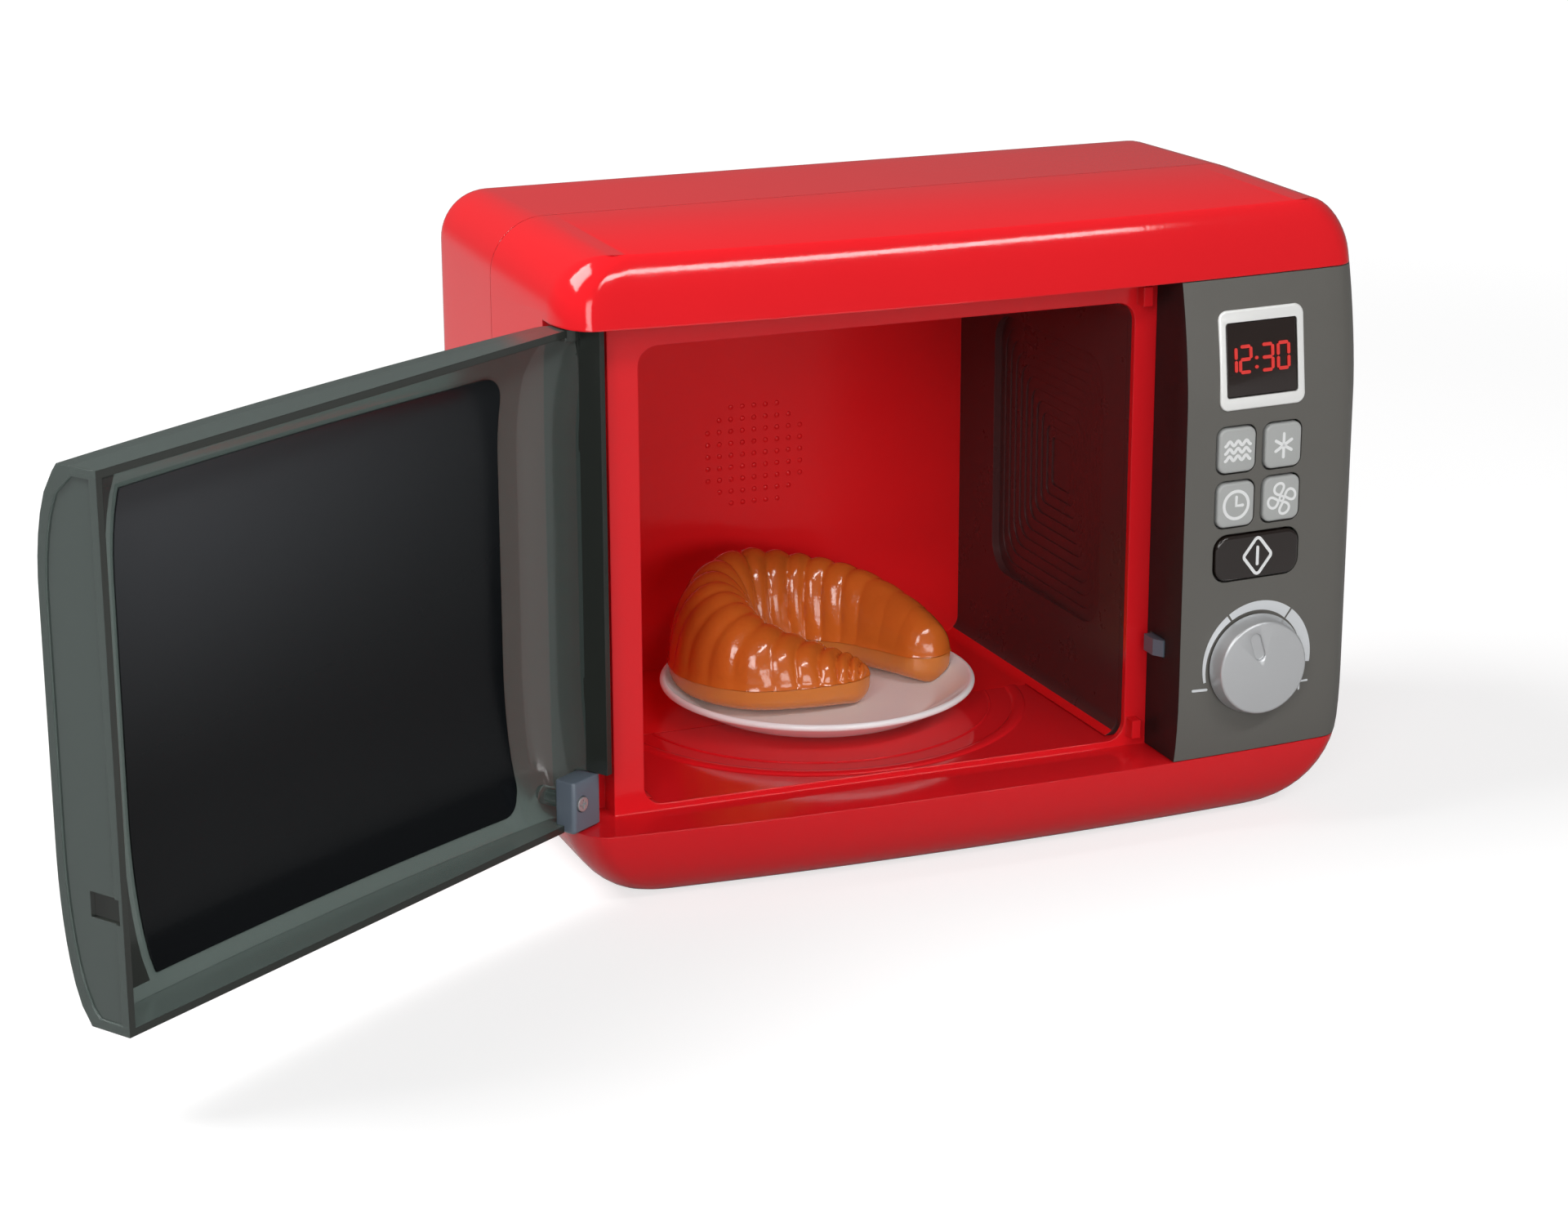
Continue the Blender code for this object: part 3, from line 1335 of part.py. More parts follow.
def make_plate(material):
    base = SILL_TOP + GAP
    under = base + PLATE_FOOT_HEIGHT
    rim_top = base + PLATE_RIM_HEIGHT
    foot = PLATE_FOOT_RADIUS
    profile = [
        (0.0, under),
        (foot - PLATE_FOOT_WIDTH, under),
        (foot - PLATE_FOOT_WIDTH * 3 / 4, base),
        (foot, base),
        (foot + PLATE_FOOT_WIDTH / 4, under),
        (PLATE_WELL_RADIUS + PLATE_THICKNESS, under + PLATE_THICKNESS / 2),
        (PLATE_RADIUS - PLATE_RIM_WIDTH, rim_top - PLATE_RIM_WIDTH),
    ]
    roll = PLATE_RIM_WIDTH / 2
    profile += arc((PLATE_RADIUS - roll, rim_top - roll), roll, *RIM_ROLL_SHARES, 5)
    profile += [
        (PLATE_WELL_RADIUS + PLATE_THICKNESS, plate_floor() + PLATE_THICKNESS / 2),
        (PLATE_WELL_RADIUS, plate_floor()),
        (0.0, plate_floor()),
    ]
    plate = finish(turned(profile, (PLATE_X, PLATE_Y), "Z", 32), "plate", material)
    pivot(plate, (PLATE_X, PLATE_Y, base))


# Croissant: two moulded halves that meet above the plate. Its stations run from the front tip round the
# back to the right tip. Each has x and y from the plate's centre, half width and rise, as shares of the
# plate's radius
BUN_COURSE_SHARES = (
    (0.248, -0.274, 0.093, 0.076),
    (0.054, -0.223, 0.186, 0.160),
    (-0.199, -0.164, 0.250, 0.270),
    (-0.461, -0.063, 0.287, 0.405),
    (-0.579, 0.199, 0.304, 0.532),
    (-0.486, 0.512, 0.287, 0.591),
    (-0.208, 0.715, 0.253, 0.600),
    (0.164, 0.723, 0.220, 0.524),
    (0.476, 0.520, 0.220, 0.448),
    (0.654, 0.242, 0.208, 0.346),
    (0.747, 0.005, 0.174, 0.236),
    (0.780, -0.130, 0.110, 0.135),
)
BUN_BASE_HEIGHT = 0.0114
BUN_BASE_SHARE = 0.70
BUN_RINGS_BETWEEN = 4
BUN_SIDES = 8
BUN_PLEAT_SHARE = 0.035


def along_course(before, start, end, after, share):
    """A smooth course between two stations, led by the ones on either side."""
    slope_in = (end - before) / 2
    slope_out = (after - start) / 2
    cubic = 2 * (start - end) + slope_in + slope_out
    square = 3 * (end - start) - 2 * slope_in - slope_out
    return ((cubic * share + square) * share + slope_in) * share + start


def bun_stations():
    """Centre, half width and rise of each ring of the croissant."""
    course = [PLATE_RADIUS * Vector(shares) for shares in BUN_COURSE_SHARES]
    course = [2 * course[0] - course[1], *course, 2 * course[-1] - course[-2]]
    stations = []
    for here in range(1, len(course) - 2):
        for step in range(BUN_RINGS_BETWEEN):
            stations.append(along_course(*course[here - 1:here + 3], step / BUN_RINGS_BETWEEN))
    stations.append(course[-2])
    return stations


def bun_half(upper):
    """The crust above the parting line, or the base below it."""
    stations = bun_stations()
    floor = plate_floor() + GAP
    parting = plate_floor() + BUN_BASE_HEIGHT
    points = []
    for place, (x, y, half, rise) in enumerate(stations):
        before = stations[max(place - 1, 0)]
        after = stations[min(place + 1, len(stations) - 1)]
        along = Vector((after[0] - before[0], after[1] - before[1], 0)).normalized()
        outward = Vector((-along.y, along.x, 0))
        pleat = 1 + BUN_PLEAT_SHARE * math.cos(math.pi * place)
        for side in range(BUN_SIDES + 1):
            turn = math.pi * side / BUN_SIDES
            across = half * math.cos(turn)
            if upper:
                across *= pleat
                z = parting + GAP / 2 + rise * pleat * math.sin(turn)
            else:
                across *= 1 - (1 - BUN_BASE_SHARE) * math.sin(turn) ** 3
                depth = parting - GAP / 2 - floor
                z = parting - GAP / 2 - depth * math.sqrt(math.sin(turn))
            point = Vector((PLATE_X + x, PLATE_Y + y, z)) + outward * across
            point.z = max(point.z, above_plate(point.x, point.y))
            points.append(point)
    count = BUN_SIDES + 1
    faces = [tuple(range(count)), tuple(range(len(points) - count, len(points)))]
    for ring in range(len(stations) - 1):
        for here in range(count):
            after = (here + 1) % count
            start = ring * count
            faces.append((start + here, start + after, start + count + after, start + count + here))
    return object_of("bun", points, faces)


def make_croissant(top_material, base_material):
    top = finish(bun_half(True), "croissant_top", top_material)
    base = finish(bun_half(False), "croissant_base", base_material)
    for piece in (top, base):
        pivot(piece, (PLATE_X, PLATE_Y, plate_floor()))


def clear_scene():
    for item in list(bpy.data.objects):
        bpy.data.objects.remove(item)


def build():
    clear_scene()
    red = shader_of("red plastic", (0.72, 0.012, 0.018), 0.22)
    liner_red = shader_of("cavity plastic", (0.45, 0.01, 0.014), 0.35)
    grey = shader_of("panel plastic", (0.13, 0.125, 0.11), 0.45)
    silver = shader_of("silver paint", (0.55, 0.56, 0.57), 0.32, 0.5)
    key_grey = shader_of("key plastic", (0.45, 0.47, 0.45), 0.4)
    smoked = shader_of("smoked plastic", (0.03, 0.02, 0.018), 0.12, alpha=0.85)
    door_clear = shader_of("smoked clear plastic", (0.09, 0.11, 0.10), 0.12, alpha=0.75)
    film_dark = shader_of("printed film", (0.008, 0.010, 0.012), 0.15)
    blue_grey = shader_of("hinge plastic", (0.13, 0.15, 0.18), 0.4)
    steel = shader_of("steel", (0.6, 0.6, 0.6), 0.3, 1.0)
    black = shader_of("black plastic", (0.02, 0.02, 0.02), 0.5)
    green = shader_of("circuit board", (0.01, 0.12, 0.04), 0.5)
    rubber = shader_of("key rubber", (0.3, 0.3, 0.32), 0.8)
    lamp = shader_of("lamp", (0.5, 0.12, 0.02), 0.2)
    cell = shader_of("battery", (0.1, 0.1, 0.12), 0.35)
    white = shader_of("plate plastic", (0.85, 0.85, 0.85), 0.15)
    crust = shader_of("croissant top", (0.50, 0.13, 0.02), 0.25)
    crumb = shader_of("croissant base", (0.55, 0.18, 0.04), 0.3)

    make_front_housing(red)
    make_rear_housing(red)
    make_cavity_liner(liner_red)
    make_control_panel(grey)
    make_display(silver, smoked)
    make_keys(key_grey)
    make_start_button(smoked)
    make_board(green, rubber, lamp)
    make_knob(silver, black)
    make_latch(blue_grey, steel)
    make_door(door_clear, film_dark, blue_grey, steel)
    make_housing_screws(steel)
    make_battery_bay(black, steel, cell, red, steel)
    make_speaker(black)
    make_plate(white)
    make_croissant(crust, crumb)


build()
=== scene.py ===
"""Looks of the toy microwave: finer mouldings, prints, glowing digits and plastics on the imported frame.

Metres, +Z up. The front faces -Y. The origin is the centre of the flat underside.
"""

import json
import math

import bmesh
import bpy
from mathutils import Matrix, Vector


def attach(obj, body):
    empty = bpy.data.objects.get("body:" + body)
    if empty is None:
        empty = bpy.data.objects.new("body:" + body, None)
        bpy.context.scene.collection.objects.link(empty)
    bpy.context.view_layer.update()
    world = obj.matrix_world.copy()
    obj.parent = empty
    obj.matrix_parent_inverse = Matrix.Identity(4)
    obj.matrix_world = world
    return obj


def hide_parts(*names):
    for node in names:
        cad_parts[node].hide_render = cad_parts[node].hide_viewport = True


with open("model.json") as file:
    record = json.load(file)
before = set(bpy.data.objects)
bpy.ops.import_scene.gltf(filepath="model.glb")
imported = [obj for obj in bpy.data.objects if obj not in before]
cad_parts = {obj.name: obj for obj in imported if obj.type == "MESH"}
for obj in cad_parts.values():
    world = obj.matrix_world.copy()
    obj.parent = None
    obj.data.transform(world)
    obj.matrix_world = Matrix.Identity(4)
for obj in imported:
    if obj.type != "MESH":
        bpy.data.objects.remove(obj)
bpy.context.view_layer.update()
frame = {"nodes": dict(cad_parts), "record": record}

# Driving dimensions of the housing, as in the frame
WIDTH = 0.300
HEIGHT = 0.228
DEPTH = 0.176
SEAM_Y = 0.008
WALL = 0.0025
GAP = 0.0003
FIT = 0.0004
OVERRUN = 0.020

# Outline of the front view
BOTTOM_CORNER = 0.0353
TOP_CORNER = 0.0197
CORNER_STEPS = 12
STRAIGHT_ROWS = 26

# Bow and roundings of the front
BOW = 0.0072
BOW_POWER = 2.13
EDGE_REACH = 0.011
EDGE_FALL = 0.0179
EDGE_STEPS = 9
MIDDLE_COLUMNS = 40

# Back of the housing
REAR_TAPER = 0.002
REAR_FILLET = 0.015
REAR_FILLET_STEPS = 10
REAR_FLANKS = 6

# Belt, cavity and stiles
BELT_LOW = 0.029
BELT_HIGH = 0.205
FLANGE_Y = -0.0605
SILL_TOP = 0.0315
CAVITY_LEFT = -0.120
CAVITY_RIGHT = 0.066
CAVITY_TOP = 0.195
CAVITY_BACK = 0.081
CAVITY_CORNER = 0.007
CAVITY_DRAFT = 0.003
TONGUE_END = 0.010
LEFT_STILE = -0.131
POD_LEFT = 0.0744
POD_WINDOW = (0.084, 0.040, 0.131, 0.195)
POD_WINDOW_CORNER = 0.004
POCKET_BACK = -0.0505
LINER_RIM = 0.006

# Hinge of the door
HINGE = Vector((-0.145, -0.063, 0.0))
PIN_RADIUS = 0.002
DOOR_OPEN = math.radians(146.6)


# Meshes

def placed(name, data):
    made = bpy.data.objects.new(name, data)
    bpy.context.scene.collection.objects.link(made)
    return made


def object_of(name, points, faces):
    """A mesh object whose faces point outwards."""
    mesh = bpy.data.meshes.new(name)
    mesh.from_pydata([tuple(point) for point in points], [], faces)
    shape = bmesh.new()
    shape.from_mesh(mesh)
    bmesh.ops.remove_doubles(shape, verts=shape.verts, dist=GAP / 30)
    bare = [edge for edge in shape.edges if not edge.link_faces]
    bmesh.ops.delete(shape, geom=bare, context="EDGES")
    bmesh.ops.recalc_face_normals(shape, faces=shape.faces)
    shape.to_mesh(mesh)
    shape.free()
    return placed(name, mesh)


def combine(target, operation, tools):
    """Applies a Boolean with each tool in turn, and removes the tools."""
    for tool in tools:
        modifier = target.modifiers.new(operation.lower(), "BOOLEAN")
        modifier.operation = operation
        modifier.solver = "EXACT"
        modifier.object = tool
        graph = bpy.context.evaluated_depsgraph_get()
        shaped = bpy.data.meshes.new_from_object(target.evaluated_get(graph))
        target.modifiers.clear()
        target.data = shaped
        bpy.data.objects.remove(tool)
    return target


def cut(target, *tools):
    return combine(target, "DIFFERENCE", tools)


def join(target, *tools):
    return combine(target, "UNION", tools)


def keep(target, *tools):
    return combine(target, "INTERSECT", tools)


def lofted(rings, to_start=False):
    """A closed form through rings of as many points each, with flat ends or back to where it starts."""
    count = len(rings[0])
    points = [point for ring in rings for point in ring]
    faces = []
    if not to_start:
        faces = [tuple(range(count)), tuple(range(len(points) - count, len(points)))]
    for ring in range(len(rings) if to_start else len(rings) - 1):
        start = ring * count
        other = (ring + 1) % len(rings) * count
        for here in range(count):
            after = (here + 1) % count
            faces.append((start + here, start + after, other + after, other + here))
    return object_of("lofted", points, faces)


def prism(outline, low, high, axis="Y"):
    """Extrudes a closed outline from low to high. The outline's pairs are the other two axes in order."""
    order = {"X": (2, 0, 1), "Y": (0, 2, 1), "Z": (0, 1, 2)}[axis]
    rings = []
    for level in (low, high):
        flat = [(first, second, level) for first, second in outline]
        rings.append([tuple(point[side] for side in order) for point in flat])
    return lofted(rings)


def box(low, high):
    outline = ((low[0], low[1]), (high[0], low[1]), (high[0], high[1]), (low[0], high[1]))
    return prism(outline, low[2], high[2], "Z")


def quarter(steps):
    """Angles from zero to a quarter turn."""
    return [math.pi / 2 * step / steps for step in range(steps + 1)]


def arc(centre, radius, start, end, steps):
    """Points on an arc, with the angles in quarter turns."""
    points = []
    for step in range(steps + 1):
        turn = math.pi / 2 * (start + (end - start) * step / steps)
        points.append((centre[0] + radius * math.cos(turn), centre[1] + radius * math.sin(turn)))
    return points


def rounded(left, bottom, right, top, radius, steps=10):
    """A rectangle with round corners."""
    outline = arc((right - radius, top - radius), radius, 0, 1, steps)
    outline += arc((left + radius, top - radius), radius, 1, 2, steps)
    outline += arc((left + radius, bottom + radius), radius, 2, 3, steps)
    outline += arc((right - radius, bottom + radius), radius, 3, 4, steps)
    return outline


def disc(centre, radius, steps=48):
    return arc(centre, radius, 0, 4, steps)[:-1]


def rod(centre, radius, low, high, axis="Y", steps=48):
    return prism(disc(centre, radius, steps), low, high, axis)


def turned(profile, centre, axis="Y", steps=128):
    """Turns a closed profile of (radius, height) pairs about an axis through centre."""
    rings = []
    for step in range(steps):
        turn = 2 * math.pi * step / steps
        ring = []
        for radius, height in profile:
            first = centre[0] + radius * math.cos(turn)
            second = centre[1] + radius * math.sin(turn)
            ring.append((first, height, second) if axis == "Y" else (first, second, height))
        rings.append(ring)
    return lofted(rings, to_start=True)


def grown(section, grow):
    left, bottom, right, top = section
    return left - grow, bottom - grow, right + grow, top + grow


def pad_outline(section, corner, grow=0.0):
    """A rectangle with round corners, grown or drawn in on all sides."""
    return rounded(*grown(section, grow), corner + grow)


def slot_outline(centre_x, low, high, width):
    """A slot with round ends."""
    outline = arc((centre_x, high - width / 2), width / 2, 0, 2, 10)
    outline += arc((centre_x, low + width / 2), width / 2, 2, 4, 10)
    return outline


def spread(count, pitch):
    """Places a pitch apart, centred on zero."""
    return [(place - (count - 1) / 2) * pitch for place in range(count)]


def dress(made, name, body, finish, replaced=(), sharp_degrees=35):
    """Names a piece, gives it its finish, and lets it ride on its body."""
    made.name = name
    made.data.name = name
    made.data.materials.clear()
    made.data.materials.append(LOOKS[finish])
    made.data.shade_smooth()
    made.data.set_sharp_from_angle(angle=math.radians(sharp_degrees))
    if replaced:
        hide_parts(*replaced)
    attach(made, body)
    return made


def second_finish(made, finish, chosen):
    """Another finish on the faces that chosen picks."""
    made.data.materials.append(LOOKS[finish])
    for face in made.data.polygons:
        if chosen(face):
            face.material_index = 1


# Front form of the housing, the panel and the door

def fall(reach, extent, depth, power):
    """How far a rounded edge has dropped back, at this reach into its extent."""
    share = min(max(reach / extent, 0.0), 1.0)
    return depth * (1 - (1 - share ** power) ** (1 / power))


def outline_rows(inset):
    """Heights and half widths of the front outline, from the underside to the top."""
    straight = HEIGHT - BOTTOM_CORNER - TOP_CORNER
    heights = [BOTTOM_CORNER - (BOTTOM_CORNER - inset) * math.cos(turn) for turn in quarter(CORNER_STEPS)]
    heights += [BOTTOM_CORNER + straight * step / STRAIGHT_ROWS for step in range(1, STRAIGHT_ROWS)]
    heights += [HEIGHT - TOP_CORNER + (TOP_CORNER - inset) * math.sin(turn) for turn in quarter(CORNER_STEPS)]
    return [(height, half_width_at(height, inset)) for height in heights]


def half_width_at(height, inset):
    """Half the width of the front outline at a height."""
    half = WIDTH / 2 - inset
    below = BOTTOM_CORNER - height
    above = height - (HEIGHT - TOP_CORNER)
    if below > 0:
        radius = BOTTOM_CORNER - inset
        half = WIDTH / 2 - BOTTOM_CORNER + math.sqrt(max(radius ** 2 - below ** 2, 0.0))
    if above > 0:
        radius = TOP_CORNER - inset
        half = WIDTH / 2 - TOP_CORNER + math.sqrt(max(radius ** 2 - above ** 2, 0.0))
    return half


# A rounding holds the edge's height, and the reach, depth and power of its fall, first at the top and then
# at the foot. The last value is how far the surface stands out
BODY_ROUNDING = ((HEIGHT, 0.0666, 0.01735, 1.5), (0.0, 0.0571, 0.0261, 2.25), 0.0)


def rounded_off(height, inset, rounding):
    """How far back a front surface lies at a height, because of its roundings."""
    (top, top_reach, *top_form), (low, low_reach, *low_form), proud = rounding
    above = fall(top_reach - (top - inset - height), top_reach, *top_form)
    below = fall(low_reach - (height - inset - low), low_reach, *low_form)
    return above + below - proud


def front_y(x, height, inset=0.0, rounding=BODY_ROUNDING):
    """The bowed front surface. A positive inset lies inside the outer skin."""
    half = half_width_at(height, inset)
    end_half = WIDTH / 2 - (BOTTOM_CORNER if height < HEIGHT / 2 else TOP_CORNER)
    full = (half - end_half) / (WIDTH / 2 - inset - end_half)
    y = -DEPTH / 2 + inset + BOW * (2 * abs(x) / WIDTH) ** BOW_POWER
    y += rounded_off(height, inset, rounding)
    return y + full * fall(EDGE_REACH - (half - abs(x)), EDGE_REACH, EDGE_FALL, 2)


def column_places(half):
    """Places across one row, closer together where the edges round off."""
    middle = half - EDGE_REACH
    places = [middle * (2 * step / MIDDLE_COLUMNS - 1) for step in range(MIDDLE_COLUMNS + 1)]
    for turn in quarter(EDGE_STEPS)[1:]:
        place = middle + EDGE_REACH * math.sin(turn)
        places.append(place)
        places.insert(0, -place)
    return places


def blank(inset, back, rounding=BODY_ROUNDING):
    """The full front form as one solid, from its bowed front to a flat back."""
    rows = outline_rows(inset)
    points = []
    for height, half in rows:
        for x in column_places(half):
            points.append((x, front_y(x, height, inset, rounding), height))
    across = len(points) // len(rows)
    faces = []
    for row in range(len(rows) - 1):
        for column in range(across - 1):
            corner = row * across + column
            faces.append((corner, corner + 1, corner + across + 1, corner + across))
    border = list(range(across))
    border += [row * across + across - 1 for row in range(1, len(rows))]
    border += [(len(rows) - 1) * across + column for column in range(across - 2, -1, -1)]
    border += [row * across for row in range(len(rows) - 2, 0, -1)]
    first_back = len(points)
    points += [(points[place][0], back, points[place][2]) for place in border]
    count = len(border)
    for here in range(count):
        after = (here + 1) % count
        faces.append((border[here], border[after], first_back + after, first_back + here))
    faces.append(tuple(range(first_back, first_back + count)))
    return object_of("blank", points, faces)


def rear_blank(inset):
    """The rear half's form: a slight taper over a level underside, then a fillet into the flat back."""
    front = SEAM_Y + GAP - (OVERRUN if inset else 0)
    back = DEPTH / 2 - inset
    straight_end = back - REAR_FILLET
    places = []
    for step in range(REAR_FLANKS):
        share = step / REAR_FLANKS
        places.append((front + (straight_end - front) * share, REAR_TAPER * share, 0.0))
    for turn in quarter(REAR_FILLET_STEPS):
        places.append((
            back - REAR_FILLET * (1 - math.sin(turn)),
            REAR_TAPER,
            REAR_FILLET * (1 - math.cos(turn)),
        ))
    rings = []
    for y, taper, fillet in places:
        drawn_in = inset + taper + fillet
        rows = outline_rows(drawn_in)
        outline = [(half, height) for height, half in rows]
        outline += [(-half, height) for height, half in reversed(rows)]
        drop = taper / (HEIGHT - 2 * drawn_in)
        rings.append([(x, y, height - drop * (HEIGHT - drawn_in - height)) for x, height in outline])
    return lofted(rings)


# Housing

RING_CENTRE = (-0.025, 0.022)
RING_BEADS = ((0.0790, 0.0025, 0.0010), (0.0680, 0.0006, 0.0005))
STOP = (0.0668, 0.0704)
STOP_DEPTH = 0.005
STOP_LENGTH = 0.007
STOP_LOW_Z = 0.033
STOP_HIGH_Z = 0.194
SCREW_X = 0.128
SCREW_HEIGHTS = (0.020, 0.206)
WELL_RADIUS = 0.0036
WELL_WALL = 0.0014
WELL_FLOOR = 0.0030
SHANK_BORE = 0.0017
VENT_SLOTS = 9
VENT_PITCH = 0.0080
VENT_WIDTH = 0.0030
VENT_X = -0.030
VENT_HEIGHTS = (0.150, 0.185)
GRILLE_CENTRE = (0.104, 0.150)
GRILLE_RADIUS = 0.022
GRILLE_SLOTS = 7
GRILLE_PITCH = 0.0060
GRILLE_SLOT = 0.0024
COVER = (0.0812, 0.0330, 0.1268, 0.1025)
COVER_CORNER = 0.003


def cavity_outline(draft=0.0, grow=0.0):
    """The cavity's mouth, drawn in by its draft or grown by a wall."""
    section = (CAVITY_LEFT + draft, SILL_TOP, CAVITY_RIGHT - draft, CAVITY_TOP - draft)
    return rounded(*grown(section, grow), CAVITY_CORNER)


def floor_ring(radius, half_width, height):
    """The front part of a round bead on the cavity floor."""
    profile = [(radius - half_width, SILL_TOP - WALL / 2), (radius + half_width, SILL_TOP - WALL / 2)]
    for x, rise in arc((radius, 0.0), half_width, 0, 2, 8):
        profile.append((x, SILL_TOP + rise * height / half_width))
    ring = turned(profile, RING_CENTRE, "Z", 160)
    return keep(ring, box(
        (CAVITY_LEFT - OVERRUN, FLANGE_Y + WALL / 2, 0.0),
        (CAVITY_RIGHT + OVERRUN, TONGUE_END - WALL / 4, BELT_HIGH),
    ))


def front_housing():
    housing = blank(0.0, SEAM_Y)
    cut(housing, blank(WALL, SEAM_Y + OVERRUN))
    belt = keep(
        blank(0.0, SEAM_Y),
        box((-WIDTH, -DEPTH, BELT_LOW - WALL), (WIDTH, POCKET_BACK + WALL, BELT_HIGH + WALL)),
    )
    cut(belt, box(
        (LEFT_STILE + WALL, FLANGE_Y + WALL, BELT_LOW - WALL - OVERRUN),
        (WIDTH / 2 - WALL, OVERRUN, BELT_HIGH + WALL + OVERRUN),
    ))
    join(housing, belt)
    cut(housing, box((-WIDTH, -DEPTH, BELT_LOW), (WIDTH, FLANGE_Y, BELT_HIGH)))
    cut(housing, box((-WIDTH, -DEPTH, BELT_LOW), (LEFT_STILE, POCKET_BACK, BELT_HIGH)))
    join(housing, box(
        (CAVITY_LEFT + GAP, FLANGE_Y + WALL / 2, BELT_LOW - WALL / 2),
        (CAVITY_RIGHT - GAP, TONGUE_END, SILL_TOP),
    ))
    cut(housing, prism(cavity_outline(), FLANGE_Y - WALL, FLANGE_Y + WALL * 2))
    for bead in RING_BEADS:
        join(housing, floor_ring(*bead))
    cut(housing, prism(rounded(*POD_WINDOW, POD_WINDOW_CORNER), FLANGE_Y - WALL, FLANGE_Y + WALL * 2))
    for height in (STOP_LOW_Z, STOP_HIGH_Z):
        join(housing, box(
            (STOP[0], FLANGE_Y - STOP_DEPTH, height),
            (STOP[1], FLANGE_Y + WALL / 2, height + STOP_LENGTH),
        ))
    for level in (BELT_LOW, BELT_HIGH):
        cut(housing, rod(HINGE, PIN_RADIUS + GAP, level - 2 * WALL, level + 2 * WALL, "Z"))
    return housing


def rear_housing():
    housing = cut(rear_blank(0.0), rear_blank(WALL))
    back = DEPTH / 2
    for x in (-SCREW_X, SCREW_X):
        for height in SCREW_HEIGHTS:
            well = rod((x, height), WELL_RADIUS + WELL_WALL, SEAM_Y + GAP, back)
            join(housing, keep(well, rear_blank(WALL / 2)))
            cut(housing, rod((x, height), WELL_RADIUS, SEAM_Y + GAP + WELL_FLOOR, back + OVERRUN))
            cut(housing, rod((x, height), SHANK_BORE, SEAM_Y - OVERRUN, back))
    cut(housing, prism(rounded(*COVER, COVER_CORNER), back - 3 * WALL, back + OVERRUN))
    x, z = GRILLE_CENTRE
    slots = []
    for offset in spread(GRILLE_SLOTS, GRILLE_PITCH):
        reach = math.sqrt(GRILLE_RADIUS ** 2 - offset ** 2)
        slots.append((x + offset, z - reach, z + reach, GRILLE_SLOT))
    for offset in spread(VENT_SLOTS, VENT_PITCH):
        slots.append((VENT_X + offset, *VENT_HEIGHTS, VENT_WIDTH))
    for slot in slots:
        cut(housing, prism(slot_outline(*slot), back - 2 * WALL, back + OVERRUN))
    return housing


# Cavity

RELIEF_STEPS = 11
RELIEF_DEPTH = 0.0056
RELIEF = (-0.038, 0.067, 0.051, 0.169)
RELIEF_CENTRE = (0.0065, 0.118)
RELIEF_INNER_SHARE = 0.10
RELIEF_CORNER = 0.012
DOT_CENTRE = (-0.024, 0.114)
DOT_PITCH = 0.00475
DOT_RADIUS = 0.0010
DOT_RISE = 0.0003
DOT_ROWS = (5, 7, 9, 9, 9, 9, 9, 7, 5)


def tapered(near, far, low, high):
    """A prism along Y whose outline changes from near to far."""
    return lofted([[(x, low, z) for x, z in near], [(x, high, z) for x, z in far]])


def relief_outline(step, grow=0.0):
    """One of the nested round-cornered steps, as (y, z)."""
    share = 1 - (1 - RELIEF_INNER_SHARE) * step / RELIEF_STEPS
    section = [middle + (side - middle) * share for middle, side in zip(RELIEF_CENTRE * 2, RELIEF)]
    return pad_outline(section, RELIEF_CORNER * share, grow)


def cavity_liner():
    mouth = FLANGE_Y + WALL + GAP
    liner = tapered(cavity_outline(0.0, WALL), cavity_outline(CAVITY_DRAFT, WALL), mouth, CAVITY_BACK + WALL)
    rim = rounded(
        LEFT_STILE + WALL + GAP,
        SILL_TOP + CAVITY_CORNER,
        POD_WINDOW[0] - GAP,
        CAVITY_TOP + LINER_RIM,
        CAVITY_CORNER,
    )
    join(liner, prism(rim, mouth, mouth + WALL))
    relief_back = CAVITY_RIGHT + RELIEF_DEPTH + WALL
    join(liner, prism(relief_outline(0, WALL), CAVITY_RIGHT - CAVITY_DRAFT, relief_back, "X"))
    cut(liner, tapered(cavity_outline(), cavity_outline(CAVITY_DRAFT), mouth - GAP, CAVITY_BACK))
    cut(liner, box(
        (CAVITY_LEFT, mouth - GAP, 0.0),
        (CAVITY_RIGHT, mouth + WALL + GAP, CAVITY_TOP - CAVITY_CORNER),
    ))
    for step in range(RELIEF_STEPS):
        depth = RELIEF_DEPTH * (step + 1) / RELIEF_STEPS
        cut(liner, prism(relief_outline(step), CAVITY_RIGHT - OVERRUN, CAVITY_RIGHT + depth, "X"))
    cut(liner, box(
        (CAVITY_LEFT - WALL - OVERRUN, mouth - OVERRUN, 0.0),
        (CAVITY_RIGHT + WALL + OVERRUN, TONGUE_END + GAP, SILL_TOP + GAP),
    ))
    return liner


def dome(centre, radius, rise, sides=14, rings=4):
    """Points and faces of a low dome on the cavity's back wall."""
    points = [(centre[0], CAVITY_BACK - rise, centre[1])]
    faces = []
    for turn in quarter(rings)[1:]:
        for side in range(sides):
            around = 2 * math.pi * side / sides
            points.append((
                centre[0] + radius * math.sin(turn) * math.cos(around),
                CAVITY_BACK - rise * math.cos(turn),
                centre[1] + radius * math.sin(turn) * math.sin(around),
            ))
    for side in range(sides):
        after = (side + 1) % sides
        faces.append((0, 1 + side, 1 + after))
        for ring in range(rings - 1):
            start = 1 + ring * sides
            faces.append((start + side, start + sides + side, start + sides + after, start + after))
    faces.append(tuple(1 + (rings - 1) * sides + side for side in range(sides)))
    return points, faces


def gathered(name, parts):
    """One object from several lots of points and faces."""
    points = []
    faces = []
    for part_points, part_faces in parts:
        first = len(points)
        points += part_points
        faces += [tuple(first + place for place in face) for face in part_faces]
    return object_of(name, points, faces)


